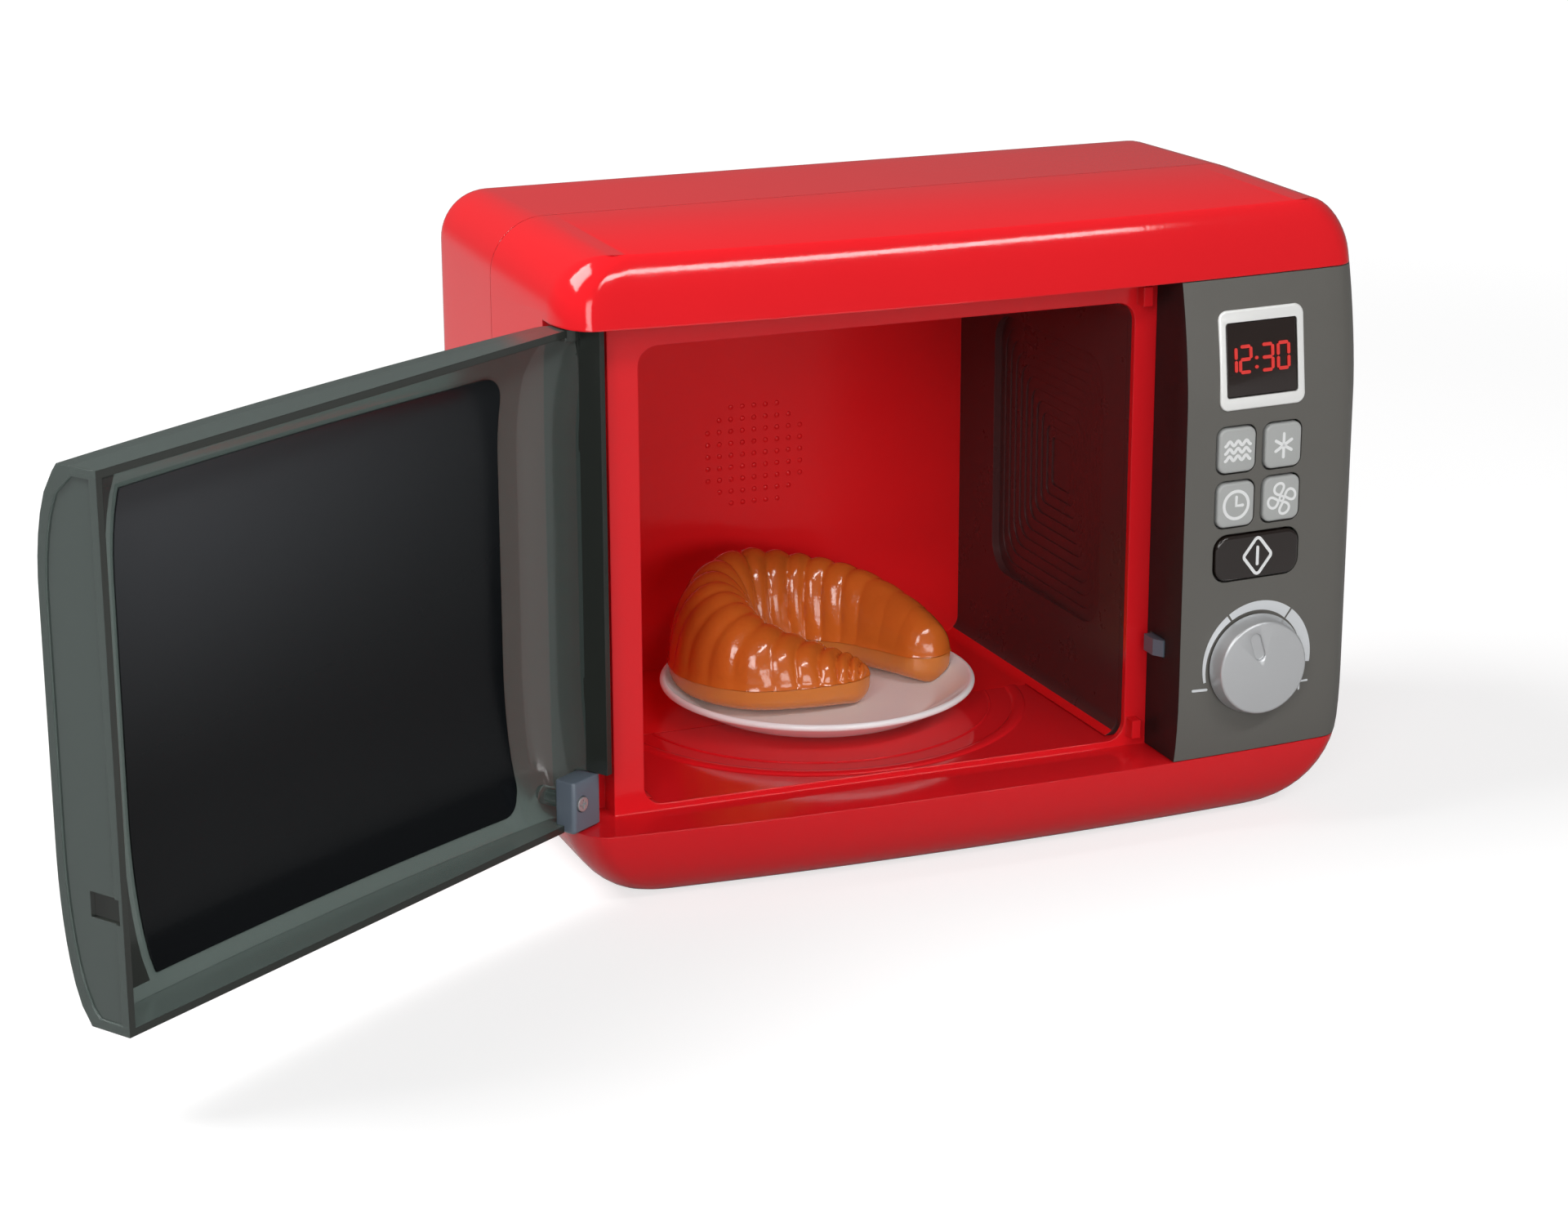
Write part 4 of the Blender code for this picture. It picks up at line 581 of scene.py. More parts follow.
def back_dots():
    parts = []
    for count, up in zip(DOT_ROWS, spread(len(DOT_ROWS), DOT_PITCH)):
        for across in spread(count, DOT_PITCH):
            parts.append(dome((DOT_CENTRE[0] + across, DOT_CENTRE[1] + up), DOT_RADIUS, DOT_RISE))
    return gathered("dots", parts)


# Control panel

PANEL_WALL = 0.0025
BEZEL = (0.0872, 0.1588, 0.1223, 0.1940)
BEZEL_PROUD = 0.0010
BEZEL_SOFTNESS = 0.0007
BEZEL_CORNER = 0.0035
DISPLAY = (0.0903, 0.1636, 0.1191, 0.1893)
DISPLAY_CORNER = 0.0008
DISPLAY_PROUD = 0.0002
DISPLAY_SOFTNESS = 0.0002
KEY_WIDTH = 0.0152
KEY_HEIGHT = 0.0163
KEY_FIT = 0.0007
KEY_CORNER = 0.0032
KEY_PROUD = 0.0012
KEY_PLACES = {
    "microwave_key": (0.0947, 0.1443),
    "defrost_key": (0.1138, 0.1440),
    "clock_key": (0.0948, 0.1243),
    "fan_key": (0.1138, 0.1244),
}
PANEL_BORE_END = -0.0745
KEY_BACK = -0.0763
START_BUTTON = (0.0872, 0.0962, 0.1218, 0.1126)
START_CORNER = 0.0050
KNOB = (0.1050, 0.0640)
KNOB_RADIUS = 0.0187
KNOB_FACE_RADIUS = 0.0173
KNOB_PROUD = 0.0065
KNOB_BEVEL = 0.0009
KNOB_BORE = 0.0034
KNOB_GAP = 0.0005
SHAFT_RADIUS = 0.0030
SHAFT_LENGTH = 0.0110
POINTER_LENGTH = 0.0105
POINTER_WIDTH = 0.0043
POINTER_DEPTH = 0.0009
POINTER_TILT = math.radians(17)
POINTER_INSET = 0.0035
LATCH_SECTION = (-0.0740, 0.0662, -0.0635, 0.0724)
LATCH_CLEARANCE = 0.0005


def panel_form(inset):
    """The belt's form, right of the pod's side wall."""
    side = POD_LEFT + inset
    low = BELT_LOW + GAP if inset <= 0 else BELT_LOW - OVERRUN
    high = BELT_HIGH - GAP if inset <= 0 else BELT_HIGH + OVERRUN
    back = FLANGE_Y - GAP if inset <= 0 else 0.0
    return keep(blank(inset, OVERRUN), box((side, -DEPTH, low), (WIDTH, back, high)))


def key_section(x, z):
    return x - KEY_WIDTH / 2, z - KEY_HEIGHT / 2, x + KEY_WIDTH / 2, z + KEY_HEIGHT / 2


def crowned(section, corner, proud, back, softness=0.0010, steps=5):
    """A pad that follows the panel's bow, with a rounded edge."""
    rings = [[(x, back, z) for x, z in pad_outline(section, corner)]]
    for turn in quarter(steps):
        sunk = softness * (1 - math.sin(turn))
        outline = pad_outline(section, corner, -softness * (1 - math.cos(turn)))
        rings.append([(x, front_y(x, z) - proud + sunk, z) for x, z in outline])
    return lofted(rings)


def control_panel():
    panel = cut(panel_form(0.0), panel_form(PANEL_WALL))
    holes = [(key_section(*place), KEY_CORNER, KEY_FIT) for place in KEY_PLACES.values()]
    holes += [(START_BUTTON, START_CORNER, KEY_FIT), (DISPLAY, DISPLAY_CORNER, FIT)]
    for hole in holes:
        cut(panel, prism(pad_outline(*hole), -DEPTH, PANEL_BORE_END))
    cut(panel, rod(KNOB, KNOB_BORE, -DEPTH, PANEL_BORE_END))
    slot = grown(LATCH_SECTION, LATCH_CLEARANCE)
    cut(panel, box((POD_LEFT - OVERRUN, slot[0], slot[1]), (POD_LEFT + OVERRUN, slot[2], slot[3])))
    return panel


def display_bezel():
    ring = crowned(BEZEL, BEZEL_CORNER, BEZEL_PROUD, 0.0, BEZEL_SOFTNESS)
    cut(ring, blank(-GAP / 3, 2 * OVERRUN))
    return cut(ring, prism(pad_outline(DISPLAY, DISPLAY_CORNER, FIT), -DEPTH, 0.0))


def display_window():
    back = front_y(DISPLAY[2], DISPLAY[3]) + PANEL_WALL
    return crowned(DISPLAY, DISPLAY_CORNER, DISPLAY_PROUD, back, DISPLAY_SOFTNESS)


def turned_slot(grow, level):
    """The outline of the knob's pointer, turned to where it stands at rest."""
    low = KNOB_FACE_RADIUS - POINTER_INSET - POINTER_LENGTH
    outline = []
    for x, z in slot_outline(0.0, low - grow, low + POINTER_LENGTH + grow, POINTER_WIDTH + 2 * grow):
        outline.append((
            KNOB[0] + x * math.cos(POINTER_TILT) - z * math.sin(POINTER_TILT),
            level,
            KNOB[1] + x * math.sin(POINTER_TILT) + z * math.cos(POINTER_TILT),
        ))
    return outline


def timer_knob():
    back = front_y(KNOB[0] - KNOB_RADIUS, KNOB[1]) - KNOB_GAP
    face = back - KNOB_PROUD
    profile = [
        (0.0, back + SHAFT_LENGTH),
        (SHAFT_RADIUS, back + SHAFT_LENGTH),
        (SHAFT_RADIUS, back),
        (KNOB_RADIUS - GAP, back),
        (KNOB_RADIUS, back - GAP),
    ]
    for radius, rise in arc((KNOB_FACE_RADIUS - KNOB_BEVEL, 0.0), KNOB_BEVEL, 0.08, 1, 7):
        profile.append((radius, face + KNOB_BEVEL - rise))
    profile.append((0.0, face))
    soft = POINTER_DEPTH / 3
    pointer = lofted([
        turned_slot(soft, face - OVERRUN),
        turned_slot(soft, face),
        turned_slot(0.0, face + soft / 2),
        turned_slot(-soft / 2, face + POINTER_DEPTH),
    ])
    return cut(turned(profile, KNOB), pointer)


# Prints on the panel, the keys and the window

PRINT_RISE = 0.00012
PICTURE_LINE = 0.00115
DIGITS = (0.0914, 0.1714, 0.1164, 0.1816)
DIGIT_WIDTH = 0.0056
DIGIT_PITCH = 0.0067
ONE_BEFORE = 0.002408
TWO_AFTER = 0.0037
COLON_SHARES = (0.16, 0.52)
SEGMENT = 0.0012
SEGMENT_GAP = 0.0002
SEGMENTS = {"1": "bc", "2": "abged", "3": "abgcd", "0": "abcdef"}
SCALE_CENTRE = (0.1066, 0.0640)
SCALE_RADIUS = 0.0228
SCALE_ENDS = (193.7, -8.3)
SCALE_SPLITS = (0.0, 0.345, 0.70, 1.0)
SCALE_THIN = 0.0010
SCALE_THICK = 0.0042
SCALE_SPLIT_DEGREES = 1.1
SCALE_STEPS = 24
# Ticks below the scale's ends: width and course
TICKS = (
    (0.00096, ((0.0801, 0.0563), (0.0857, 0.0560))),
    (0.0008, ((0.1252, 0.0506), (0.1253, 0.0535), (0.1286, 0.0535))),
)
WAVE_LENGTH = 0.0102
WAVE_PITCH = 0.0027
WAVE_RISE = 0.0008
WAVE_STEPS = 36
STAR_ARM = 0.0038
STAR_UPRIGHT = 1.12
CLOCK_RADIUS = 0.0050
CLOCK_HANDS = ((0.0, 0.0029), (0.0, -0.0003), (0.0027, -0.0003))
BLADES = 4
BLADE_STEPS = 28
BLADE_LEAN = 0.35
BLADE_REACH = 0.0037
BLADE_LENGTH = 0.0021
BLADE_SWING = 0.52
BLADE_SKEW = 0.10
BLADE_LINE = 0.85
HUB_RADIUS = 0.0009
HUB_LINE = 0.7
DIAMOND = (0.0042, 0.0052)
DIAMOND_CORNER = 0.0014
DIAMOND_BAR = 0.0031


def ribbon(path, width, closed=False):
    """Points and faces of a line of even width, with round ends where it is open."""
    course = [Vector(place) for place in path]
    count = len(course)
    points = []
    for here in range(count):
        before = course[here - 1] if closed or here else course[here]
        after = course[(here + 1) % count] if closed or here < count - 1 else course[here]
        along = (after - before).normalized()
        across = Vector((-along.y, along.x)) * width / 2
        points += [course[here] + across, course[here] - across]
    faces = []
    for here in range(count if closed else count - 1):
        after = (here + 1) % count
        faces.append((2 * here, 2 * here + 1, 2 * after + 1, 2 * after))
    if not closed:
        for end, inner in ((0, 1), (count - 1, count - 2)):
            outward = (course[end] - course[inner]).normalized() * width / 2
            side = points[2 * end] - course[end]
            cap = []
            for step in range(1, 5):
                turn = math.pi * step / 5
                cap.append(len(points))
                points.append(course[end] + side * math.cos(turn) + outward * math.sin(turn))
            faces.append((2 * end, *cap, 2 * end + 1))
    return points, faces


def band(outer, inner):
    """Points and faces between two lines of as many points each."""
    points = []
    for one, other in zip(outer, inner):
        points += [Vector(one), Vector(other)]
    faces = [(2 * here, 2 * here + 1, 2 * here + 3, 2 * here + 2) for here in range(len(outer) - 1)]
    return points, faces


def printed(parts, proud, name, body, finish):
    """Ink of an even thickness on a pad that stands proud. The parts are flat points and faces, as (x, z)."""
    shape = bmesh.new()
    for points, faces in parts:
        made = [shape.verts.new((x, front_y(x, z) - proud - PRINT_RISE, z)) for x, z in points]
        for face in faces:
            shape.faces.new([made[place] for place in face])
    bmesh.ops.recalc_face_normals(shape, faces=shape.faces)
    for face in shape.faces:
        if face.normal.y > 0:
            face.normal_flip()
    bmesh.ops.solidify(shape, geom=shape.faces[:], thickness=PRINT_RISE * 1.5)
    bmesh.ops.recalc_face_normals(shape, faces=shape.faces)
    mesh = bpy.data.meshes.new(name)
    shape.to_mesh(mesh)
    shape.free()
    return dress(placed(name, mesh), name, body, finish)


def segment_path(letter, left, low, width, height):
    """The two ends of one segment of a digit."""
    right = left + width
    middle = low + height / 2
    high = low + height
    reach = SEGMENT / 2 + SEGMENT_GAP
    ends = {
        "a": ((left + reach, high), (right - reach, high)),
        "b": ((right, high - reach), (right, middle + reach)),
        "c": ((right, middle - reach), (right, low + reach)),
        "d": ((left + reach, low), (right - reach, low)),
        "e": ((left, middle - reach), (left, low + reach)),
        "f": ((left, high - reach), (left, middle + reach)),
        "g": ((left + reach, middle), (right - reach, middle)),
    }
    return ends[letter]


def digit_parts():
    left, low, right, high = grown(DIGITS, -SEGMENT / 2)
    height = high - low
    width = DIGIT_WIDTH - SEGMENT
    starts = (left - ONE_BEFORE, left + TWO_AFTER, right - width - DIGIT_PITCH, right - width)
    parts = []
    for digit, start in zip("1230", starts):
        for letter in SEGMENTS[digit]:
            parts.append(ribbon(segment_path(letter, start, low, width, height), SEGMENT))
    colon_x = (starts[1] + width + starts[2]) / 2
    for share in COLON_SHARES:
        z = low + height * share
        parts.append(ribbon(((colon_x - SEGMENT / 9, z), (colon_x + SEGMENT / 9, z)), SEGMENT))
    return parts


def scale_parts():
    """The wedge round the knob in three lengths, and a tick below each end."""
    parts = []
    start, end = SCALE_ENDS
    for low, high in zip(SCALE_SPLITS, SCALE_SPLITS[1:]):
        outer = []
        inner = []
        for step in range(SCALE_STEPS + 1):
            share = low + (high - low) * step / SCALE_STEPS
            turn = math.radians(start + (end - start) * share)
            if step == SCALE_STEPS and high < 1:
                turn += math.radians(SCALE_SPLIT_DEGREES)
            if step == 0 and low > 0:
                turn -= math.radians(SCALE_SPLIT_DEGREES)
            thickness = SCALE_THIN + (SCALE_THICK - SCALE_THIN) * min(share / SCALE_SPLITS[2], 1.0)
            for line, radius in ((outer, SCALE_RADIUS), (inner, SCALE_RADIUS - thickness)):
                line.append((
                    SCALE_CENTRE[0] + radius * math.cos(turn),
                    SCALE_CENTRE[1] + radius * math.sin(turn),
                ))
        parts.append(band(outer, inner))
    return parts + [ribbon(course, width) for width, course in TICKS]


def wave_parts(x, z):
    parts = []
    for row in spread(3, WAVE_PITCH):
        path = []
        for step in range(WAVE_STEPS + 1):
            share = step / WAVE_STEPS
            rise = WAVE_RISE * math.sin(2 * math.pi * (3 * share - 0.25))
            path.append((x + (share - 0.5) * WAVE_LENGTH, z + row + rise))
        parts.append(ribbon(path, PICTURE_LINE))
    return parts


def star_parts(x, z):
    centre = Vector((x, z))
    parts = []
    for degrees, length in ((90, STAR_UPRIGHT), (30, 1), (150, 1)):
        turn = math.radians(degrees)
        arm = Vector((math.cos(turn), math.sin(turn))) * STAR_ARM * length
        parts.append(ribbon((centre + arm, centre + arm * 0.02, centre - arm), PICTURE_LINE))
    return parts


def clock_parts(x, z):
    ring = ribbon(disc((x, z), CLOCK_RADIUS, 64), PICTURE_LINE, closed=True)
    return [ring, ribbon([(x + across, z + up) for across, up in CLOCK_HANDS], PICTURE_LINE)]


def fan_parts(x, z):
    """Four looped blades round a small hub."""
    parts = []
    for blade in range(BLADES):
        lean = 2 * math.pi * blade / BLADES + BLADE_LEAN
        path = []
        for step in range(BLADE_STEPS):
            turn = 2 * math.pi * step / BLADE_STEPS
            reach = BLADE_REACH + BLADE_LENGTH * math.cos(turn)
            swing = BLADE_SWING * math.sin(turn) - BLADE_SKEW * math.cos(turn)
            path.append((x + reach * math.cos(lean + swing), z + reach * math.sin(lean + swing)))
        parts.append(ribbon(path, PICTURE_LINE * BLADE_LINE, closed=True))
    parts.append(ribbon(disc((x, z), HUB_RADIUS, 24), PICTURE_LINE * HUB_LINE, closed=True))
    return parts


def start_parts(x, z):
    """A diamond with round corners round an upright bar."""
    path = []
    for corner, (side, up) in enumerate(((1, 0), (0, 1), (-1, 0), (0, -1))):
        centre = (x + side * DIAMOND[0], z + up * DIAMOND[1])
        path += arc(centre, DIAMOND_CORNER, corner - 0.55, corner + 0.55, 6)
    bar = ribbon(((x, z + DIAMOND_BAR), (x, z - DIAMOND_BAR)), PICTURE_LINE)
    return [ribbon(path, PICTURE_LINE, closed=True), bar]


# Door

DOOR_RIGHT = 0.0734
DOOR_RIM = -0.0612
SKIRT_BACK = -0.052
DOOR_WALL = 0.0025
DOOR_GAP_Z = 0.0006
DOOR_LOW = BELT_LOW + DOOR_GAP_Z
DOOR_HIGH = BELT_HIGH - DOOR_GAP_Z
DOOR_ROUNDING = ((DOOR_HIGH, 0.040, 0.0136, 2), (DOOR_LOW, 0.055, 0.0125, 2), 0.0012)
FILM = (-0.128, 0.037, 0.045, 0.190)
FILM_CORNER = 0.010
FILM_THICKNESS = 0.0005
BLOCK = (-0.1500, -0.0655, -0.1350, -0.0570)
BLOCK_HEIGHTS = (0.0293, 0.0480)
BLOCK_CORNER = 0.0015
BLOCK_SCREW = (-0.1395, 0.0395)
BLOCK_SHANK_REACH = 0.0060
SHANK_HOLE = 0.0015
HEAD_HOLE = 0.0029
HEAD_SINK = 0.0010
DOOR_BOSS_RADIUS = 0.0033
PIN_BOSS_RADIUS = 0.0036
PIN_BOSS_DROP = 0.0040
PIN_DEPTH = 0.0030
SLOT_CLEARANCE = 0.0010
END_FRAME = 0.0030
END_RECESS = 0.0007


def door_form(inset):
    """The closed door's outer form, or with an inset the hollow inside it."""
    back = 0.0 if inset else SKIRT_BACK
    form = blank(inset, OVERRUN, DOOR_ROUNDING)
    return keep(form, box((-WIDTH, -DEPTH, DOOR_LOW + inset), (DOOR_RIGHT - inset, back, DOOR_HIGH - inset)))


SWING = Matrix.Translation(HINGE) @ Matrix.Rotation(-DOOR_OPEN, 4, "Z") @ Matrix.Translation(-HINGE)


def opened(made):
    """Swings a door piece from its closed place to the open rest place."""
    made.data.transform(SWING)
    return made


def door_shell():
    door = cut(door_form(0.0), door_form(DOOR_WALL))
    cut(door, box((-WIDTH / 2 + DOOR_WALL, DOOR_RIM, 0.0), (WIDTH, DEPTH, HEIGHT)))
    end_face = keep(blank(END_FRAME, OVERRUN, DOOR_ROUNDING), box(
        (DOOR_RIGHT - END_RECESS, -DEPTH, DOOR_LOW + END_FRAME),
        (DOOR_RIGHT + END_RECESS, DOOR_RIM - END_FRAME, DOOR_HIGH - END_FRAME),
    ))
    cut(door, end_face)
    x, z = BLOCK_SCREW
    boss_front = front_y(x, z, 0.0, DOOR_ROUNDING) + DOOR_WALL / 2
    join(door, rod((x, z), DOOR_BOSS_RADIUS, boss_front, BLOCK[1]))
    cut(door, box((-WIDTH, BLOCK[1] - GAP, 0.0), (BLOCK[2] + GAP, DEPTH, BLOCK_HEIGHTS[1] + GAP)))
    cut(door, rod((x, z), SHANK_HOLE, BLOCK[1] - BLOCK_SHANK_REACH - GAP, 0.0))
    join(door, rod(HINGE, PIN_BOSS_RADIUS, DOOR_HIGH - PIN_BOSS_DROP, DOOR_HIGH, "Z"))
    join(door, rod(HINGE, PIN_RADIUS, DOOR_HIGH - WALL, DOOR_HIGH + PIN_DEPTH, "Z"))
    slot = grown(LATCH_SECTION, SLOT_CLEARANCE)
    cut(door, box((DOOR_RIGHT - 2 * DOOR_WALL, slot[0], slot[1]), (WIDTH, slot[2], slot[3])))
    return opened(door)


def film_outline():
    """A sheet with round corners on the hinge side only."""
    left, bottom, right, top = FILM
    outline = [(right, bottom), (right, top)]
    outline += arc((left + FILM_CORNER, top - FILM_CORNER), FILM_CORNER, 1, 2, 10)
    outline += arc((left + FILM_CORNER, bottom + FILM_CORNER), FILM_CORNER, 2, 3, 10)
    return outline


def door_film():
    film = keep(
        prism(film_outline(), -DEPTH, 0.0),
        blank(DOOR_WALL + GAP, OVERRUN, DOOR_ROUNDING),
    )
    cut(film, blank(DOOR_WALL + GAP + FILM_THICKNESS, 2 * OVERRUN, DOOR_ROUNDING))
    return opened(film)


def hinge_block():
    low, high = BLOCK_HEIGHTS
    soft = BLOCK_CORNER / 2
    levels = [(-soft, low), (0.0, low + soft), (0.0, high - soft)]
    levels += [(-soft / 3, high - soft / 4), (-soft, high)]
    rings = []
    for grow, level in levels:
        rings.append([(x, y, level) for x, y in pad_outline(BLOCK, BLOCK_CORNER, grow)])
    block = lofted(rings)
    join(block, rod(HINGE, PIN_RADIUS, low - PIN_DEPTH, low + WALL, "Z"))
    cut(block, rod(BLOCK_SCREW, SHANK_HOLE, -DEPTH, 0.0))
    cut(block, rod(BLOCK_SCREW, HEAD_HOLE, BLOCK[3] - HEAD_SINK, 0.0))
    return opened(block)


# Plate and croissant

PLATE_RADIUS = 0.0592
PLATE_CENTRE = (-0.0232, 0.0182)
PLATE_BASE = SILL_TOP + GAP
FOOT_RADIUS = 0.0335
FOOT_WIDTH = 0.0028
FOOT_HEIGHT = 0.0018
PLATE_THICKNESS = 0.0020
PLATE_BEND = 3 * PLATE_THICKNESS
WELL_EDGE = 0.0447
RIM_HEIGHT = 0.0117
RIM_ROLL = 0.0013
PLATE_FLOOR = PLATE_BASE + FOOT_HEIGHT + PLATE_THICKNESS


def plate():
    under = PLATE_BASE + FOOT_HEIGHT
    rim_top = PLATE_BASE + RIM_HEIGHT
    profile = [(0.0, under), (FOOT_RADIUS - FOOT_WIDTH, under)]
    profile += arc((FOOT_RADIUS - FOOT_WIDTH / 2, under), FOOT_WIDTH / 2, 2.2, 3.8, 6)
    profile += [(FOOT_RADIUS + FOOT_WIDTH / 4, under)]
    low_bend = (WELL_EDGE - PLATE_THICKNESS, under + PLATE_BEND)
    profile += arc(low_bend, PLATE_BEND, 3.05, 3.30, 4)
    profile += arc((PLATE_RADIUS - RIM_ROLL, rim_top - RIM_ROLL), RIM_ROLL, -0.7, 1.7, 12)
    high_bend = (WELL_EDGE - PLATE_THICKNESS, PLATE_FLOOR + PLATE_BEND)
    profile += arc(high_bend, PLATE_BEND, 3.32, 3.0, 5)
    profile += [(0.0, PLATE_FLOOR)]
    return turned(profile, PLATE_CENTRE, "Z", 160)


# Stations along the croissant, from the front tip round the back to the right tip. Each has x and y from
# the plate's centre, half width and rise, as shares of the plate's radius
BUN_COURSE_SHARES = (
    (0.248, -0.274, 0.093, 0.076),
    (0.054, -0.223, 0.186, 0.160),
    (-0.199, -0.164, 0.250, 0.270),
    (-0.461, -0.063, 0.287, 0.405),
    (-0.579, 0.199, 0.304, 0.532),
    (-0.486, 0.512, 0.287, 0.591),
    (-0.208, 0.715, 0.253, 0.600),
    (0.164, 0.723, 0.220, 0.524),
    (0.476, 0.520, 0.220, 0.448),
    (0.654, 0.242, 0.208, 0.346),
    (0.747, 0.005, 0.174, 0.236),
    (0.780, -0.130, 0.110, 0.135),
)
BUN_PARTING_RISE = 0.0114
BUN_PARTING = PLATE_FLOOR + BUN_PARTING_RISE
BUN_BASE_SHARE = 0.70
BUN_RINGS_BETWEEN = 26
BUN_SIDES = 44
BUN_FOLDS = 25
BUN_FOLD_DEPTH = 0.0024
BUN_FOLD_LEAN = 0.75
BUN_FOLD_CROWDING = 0.9
BUN_FOLD_SHARPNESS = 0.6
BUN_FOLD_AT_PARTING = 0.35
BUN_FADE_IN = 0.03
BUN_FADE_OUT = 0.92
BUN_FADE_LENGTH = 0.22
BUN_HEIGHT = 0.034
BUN_FLANGE = 0.0006
BUN_END_ROUND = 0.62
BUN_END_FULLNESS = 0.98
BUN_LEAST_REACH = 0.6
BUN_BASE_DEPTHS = (0.25, 0.75)


def along_course(before, start, end, after, share):
    """A smooth course between two stations, led by the ones on either side."""
    slope_in = (end - before) / 2
    slope_out = (after - start) / 2
    cubic = 2 * (start - end) + slope_in + slope_out
    square = 3 * (end - start) - 2 * slope_in - slope_out
    return ((cubic * share + square) * share + slope_in) * share + start


def bun_stations():
    """Centre, half width and rise of each ring of the croissant."""
    course = [PLATE_RADIUS * Vector(shares) for shares in BUN_COURSE_SHARES]
    course = [2 * course[0] - course[1], *course, 2 * course[-1] - course[-2]]
    stations = []
    for here in range(1, len(course) - 2):
        for step in range(BUN_RINGS_BETWEEN):
            stations.append(along_course(*course[here - 1:here + 3], step / BUN_RINGS_BETWEEN))
    stations.append(course[-2])
    return stations


def fold_depth(share, turn):
    """Depth of the pastry folds: sharp, uneven valleys between round ridges, fading towards the tips."""
    lean = -BUN_FOLD_LEAN * math.cos(turn) * (1 - share)
    uneven = 0.28 * math.sin(19 * share) + 0.12 * math.sin(3 * turn + 11 * share)
    phase = BUN_FOLDS * share ** BUN_FOLD_CROWDING + lean + uneven
    valley = 1 - abs(math.sin(math.pi * phase)) ** BUN_FOLD_SHARPNESS
    strength = 0.72 + 0.28 * math.sin(13 * share + 0.6)
    fade = min(share / BUN_FADE_IN, 1.0) * min(max((BUN_FADE_OUT - share) / BUN_FADE_LENGTH, 0.0), 1.0)
    to_parting = BUN_FOLD_AT_PARTING + (1 - BUN_FOLD_AT_PARTING) * min(3 * math.sin(turn), 1.0)
    return BUN_FOLD_DEPTH * valley * strength * fade * to_parting


def above_plate(x, y):
    """The lowest height that clears the plate's well and its rising rim at a place."""
    radius = math.hypot(x - PLATE_CENTRE[0], y - PLATE_CENTRE[1])
    climb = (radius - WELL_EDGE) / (PLATE_RADIUS - 2 * RIM_ROLL - WELL_EDGE)
    rise = RIM_HEIGHT - FOOT_HEIGHT - PLATE_THICKNESS + GAP
    return PLATE_FLOOR + GAP + rise * min(max(climb, 0.0), 1.0)


def bun_half(upper):
    """The folded crust above the parting line, or the smooth base below it."""
    stations = bun_stations()
    floor = PLATE_FLOOR + GAP
    last = len(stations) - 1
    rings = []
    for place, (x, y, half, rise) in enumerate(stations):
        before = stations[max(place - 1, 0)]
        after = stations[min(place + 1, last)]
        along = Vector((after[0] - before[0], after[1] - before[1], 0)).normalized()
        outward = Vector((-along.y, along.x, 0))
        to_tip = min(place, last - place) / BUN_RINGS_BETWEEN
        closing = math.sqrt(1 - (1 - min(to_tip / BUN_END_ROUND, 1.0)) ** 2 * BUN_END_FULLNESS)
        ring = []
        for side in range(BUN_SIDES + 1):
            turn = math.pi * side / BUN_SIDES
            if upper:
                depth = fold_depth(place / last, turn)
                reach = max(half * closing - depth, half * closing * BUN_LEAST_REACH)
                across = reach * math.cos(turn)
                z = BUN_PARTING + GAP / 2 + (rise * closing - depth) * math.sin(turn)
                if side in (0, BUN_SIDES):
                    across += BUN_FLANGE * math.cos(turn)
            else:
                drawn_in = 1 - (1 - BUN_BASE_SHARE) * math.sin(turn) ** 3
                across = half * closing * drawn_in * math.cos(turn)
                depth = (BUN_PARTING - GAP / 2 - floor) * (BUN_BASE_DEPTHS[0] + BUN_BASE_DEPTHS[1] * closing)
                z = BUN_PARTING - GAP / 2 - depth * math.sqrt(math.sin(turn))
            point = Vector((PLATE_CENTRE[0] + x, PLATE_CENTRE[1] + y, z)) + outward * across
            point.z = max(point.z, above_plate(point.x, point.y))
            ring.append(point)
        rings.append(ring)
    return lofted(rings)


# Materials

def feed(tree, node, inputs):
    """Gives each named input a plain value, or links it to another node's socket."""
    for name, value in inputs.items():
        if isinstance(value, bpy.types.NodeSocket):
            tree.links.new(value, node.inputs[name])
        else:
            node.inputs[name].default_value = value


def add(tree, kind, inputs=(), **settings):
    """A new shader node with its settings and inputs. Gives its outputs."""
    node = tree.nodes.new("ShaderNode" + kind)
    for name, value in settings.items():
        setattr(node, name, value)
    feed(tree, node, dict(inputs))
    return node.outputs


def reckon(tree, operation, *values):
    return add(tree, "Math", dict(enumerate(values)), operation=operation)[0]


def own_place(tree):
    return add(tree, "TexCoord")["Object"]


def noise(tree, scale, detail=2.0, roughness=0.5):
    inputs = {"Vector": own_place(tree), "Scale": scale, "Detail": detail, "Roughness": roughness}
    return add(tree, "TexNoise", inputs)["Fac"]


def stretched(tree, value, start, end, low=0.0, high=1.0, blend="LINEAR"):
    """A value that runs from low to high while the given one runs from start to end."""
    inputs = {"Value": value, "From Min": start, "From Max": end, "To Min": low, "To Max": high}
    return add(tree, "MapRange", inputs, interpolation_type=blend)["Result"]


def blended(tree, share, first, second):
    return add(tree, "Mix", {"Factor": share, "A": first, "B": second}, data_type="RGBA")["Result"]


SHADE_LEVEL = 0.97
SHADE_SCALE = 14.0
PATCH_SCALE = 45.0
PATCH_RANGE = (0.35, 0.75)
BAKED_SCALE = 60.0
GLOW_SCALE = 500.0
BUMP_DISTANCE = 0.001


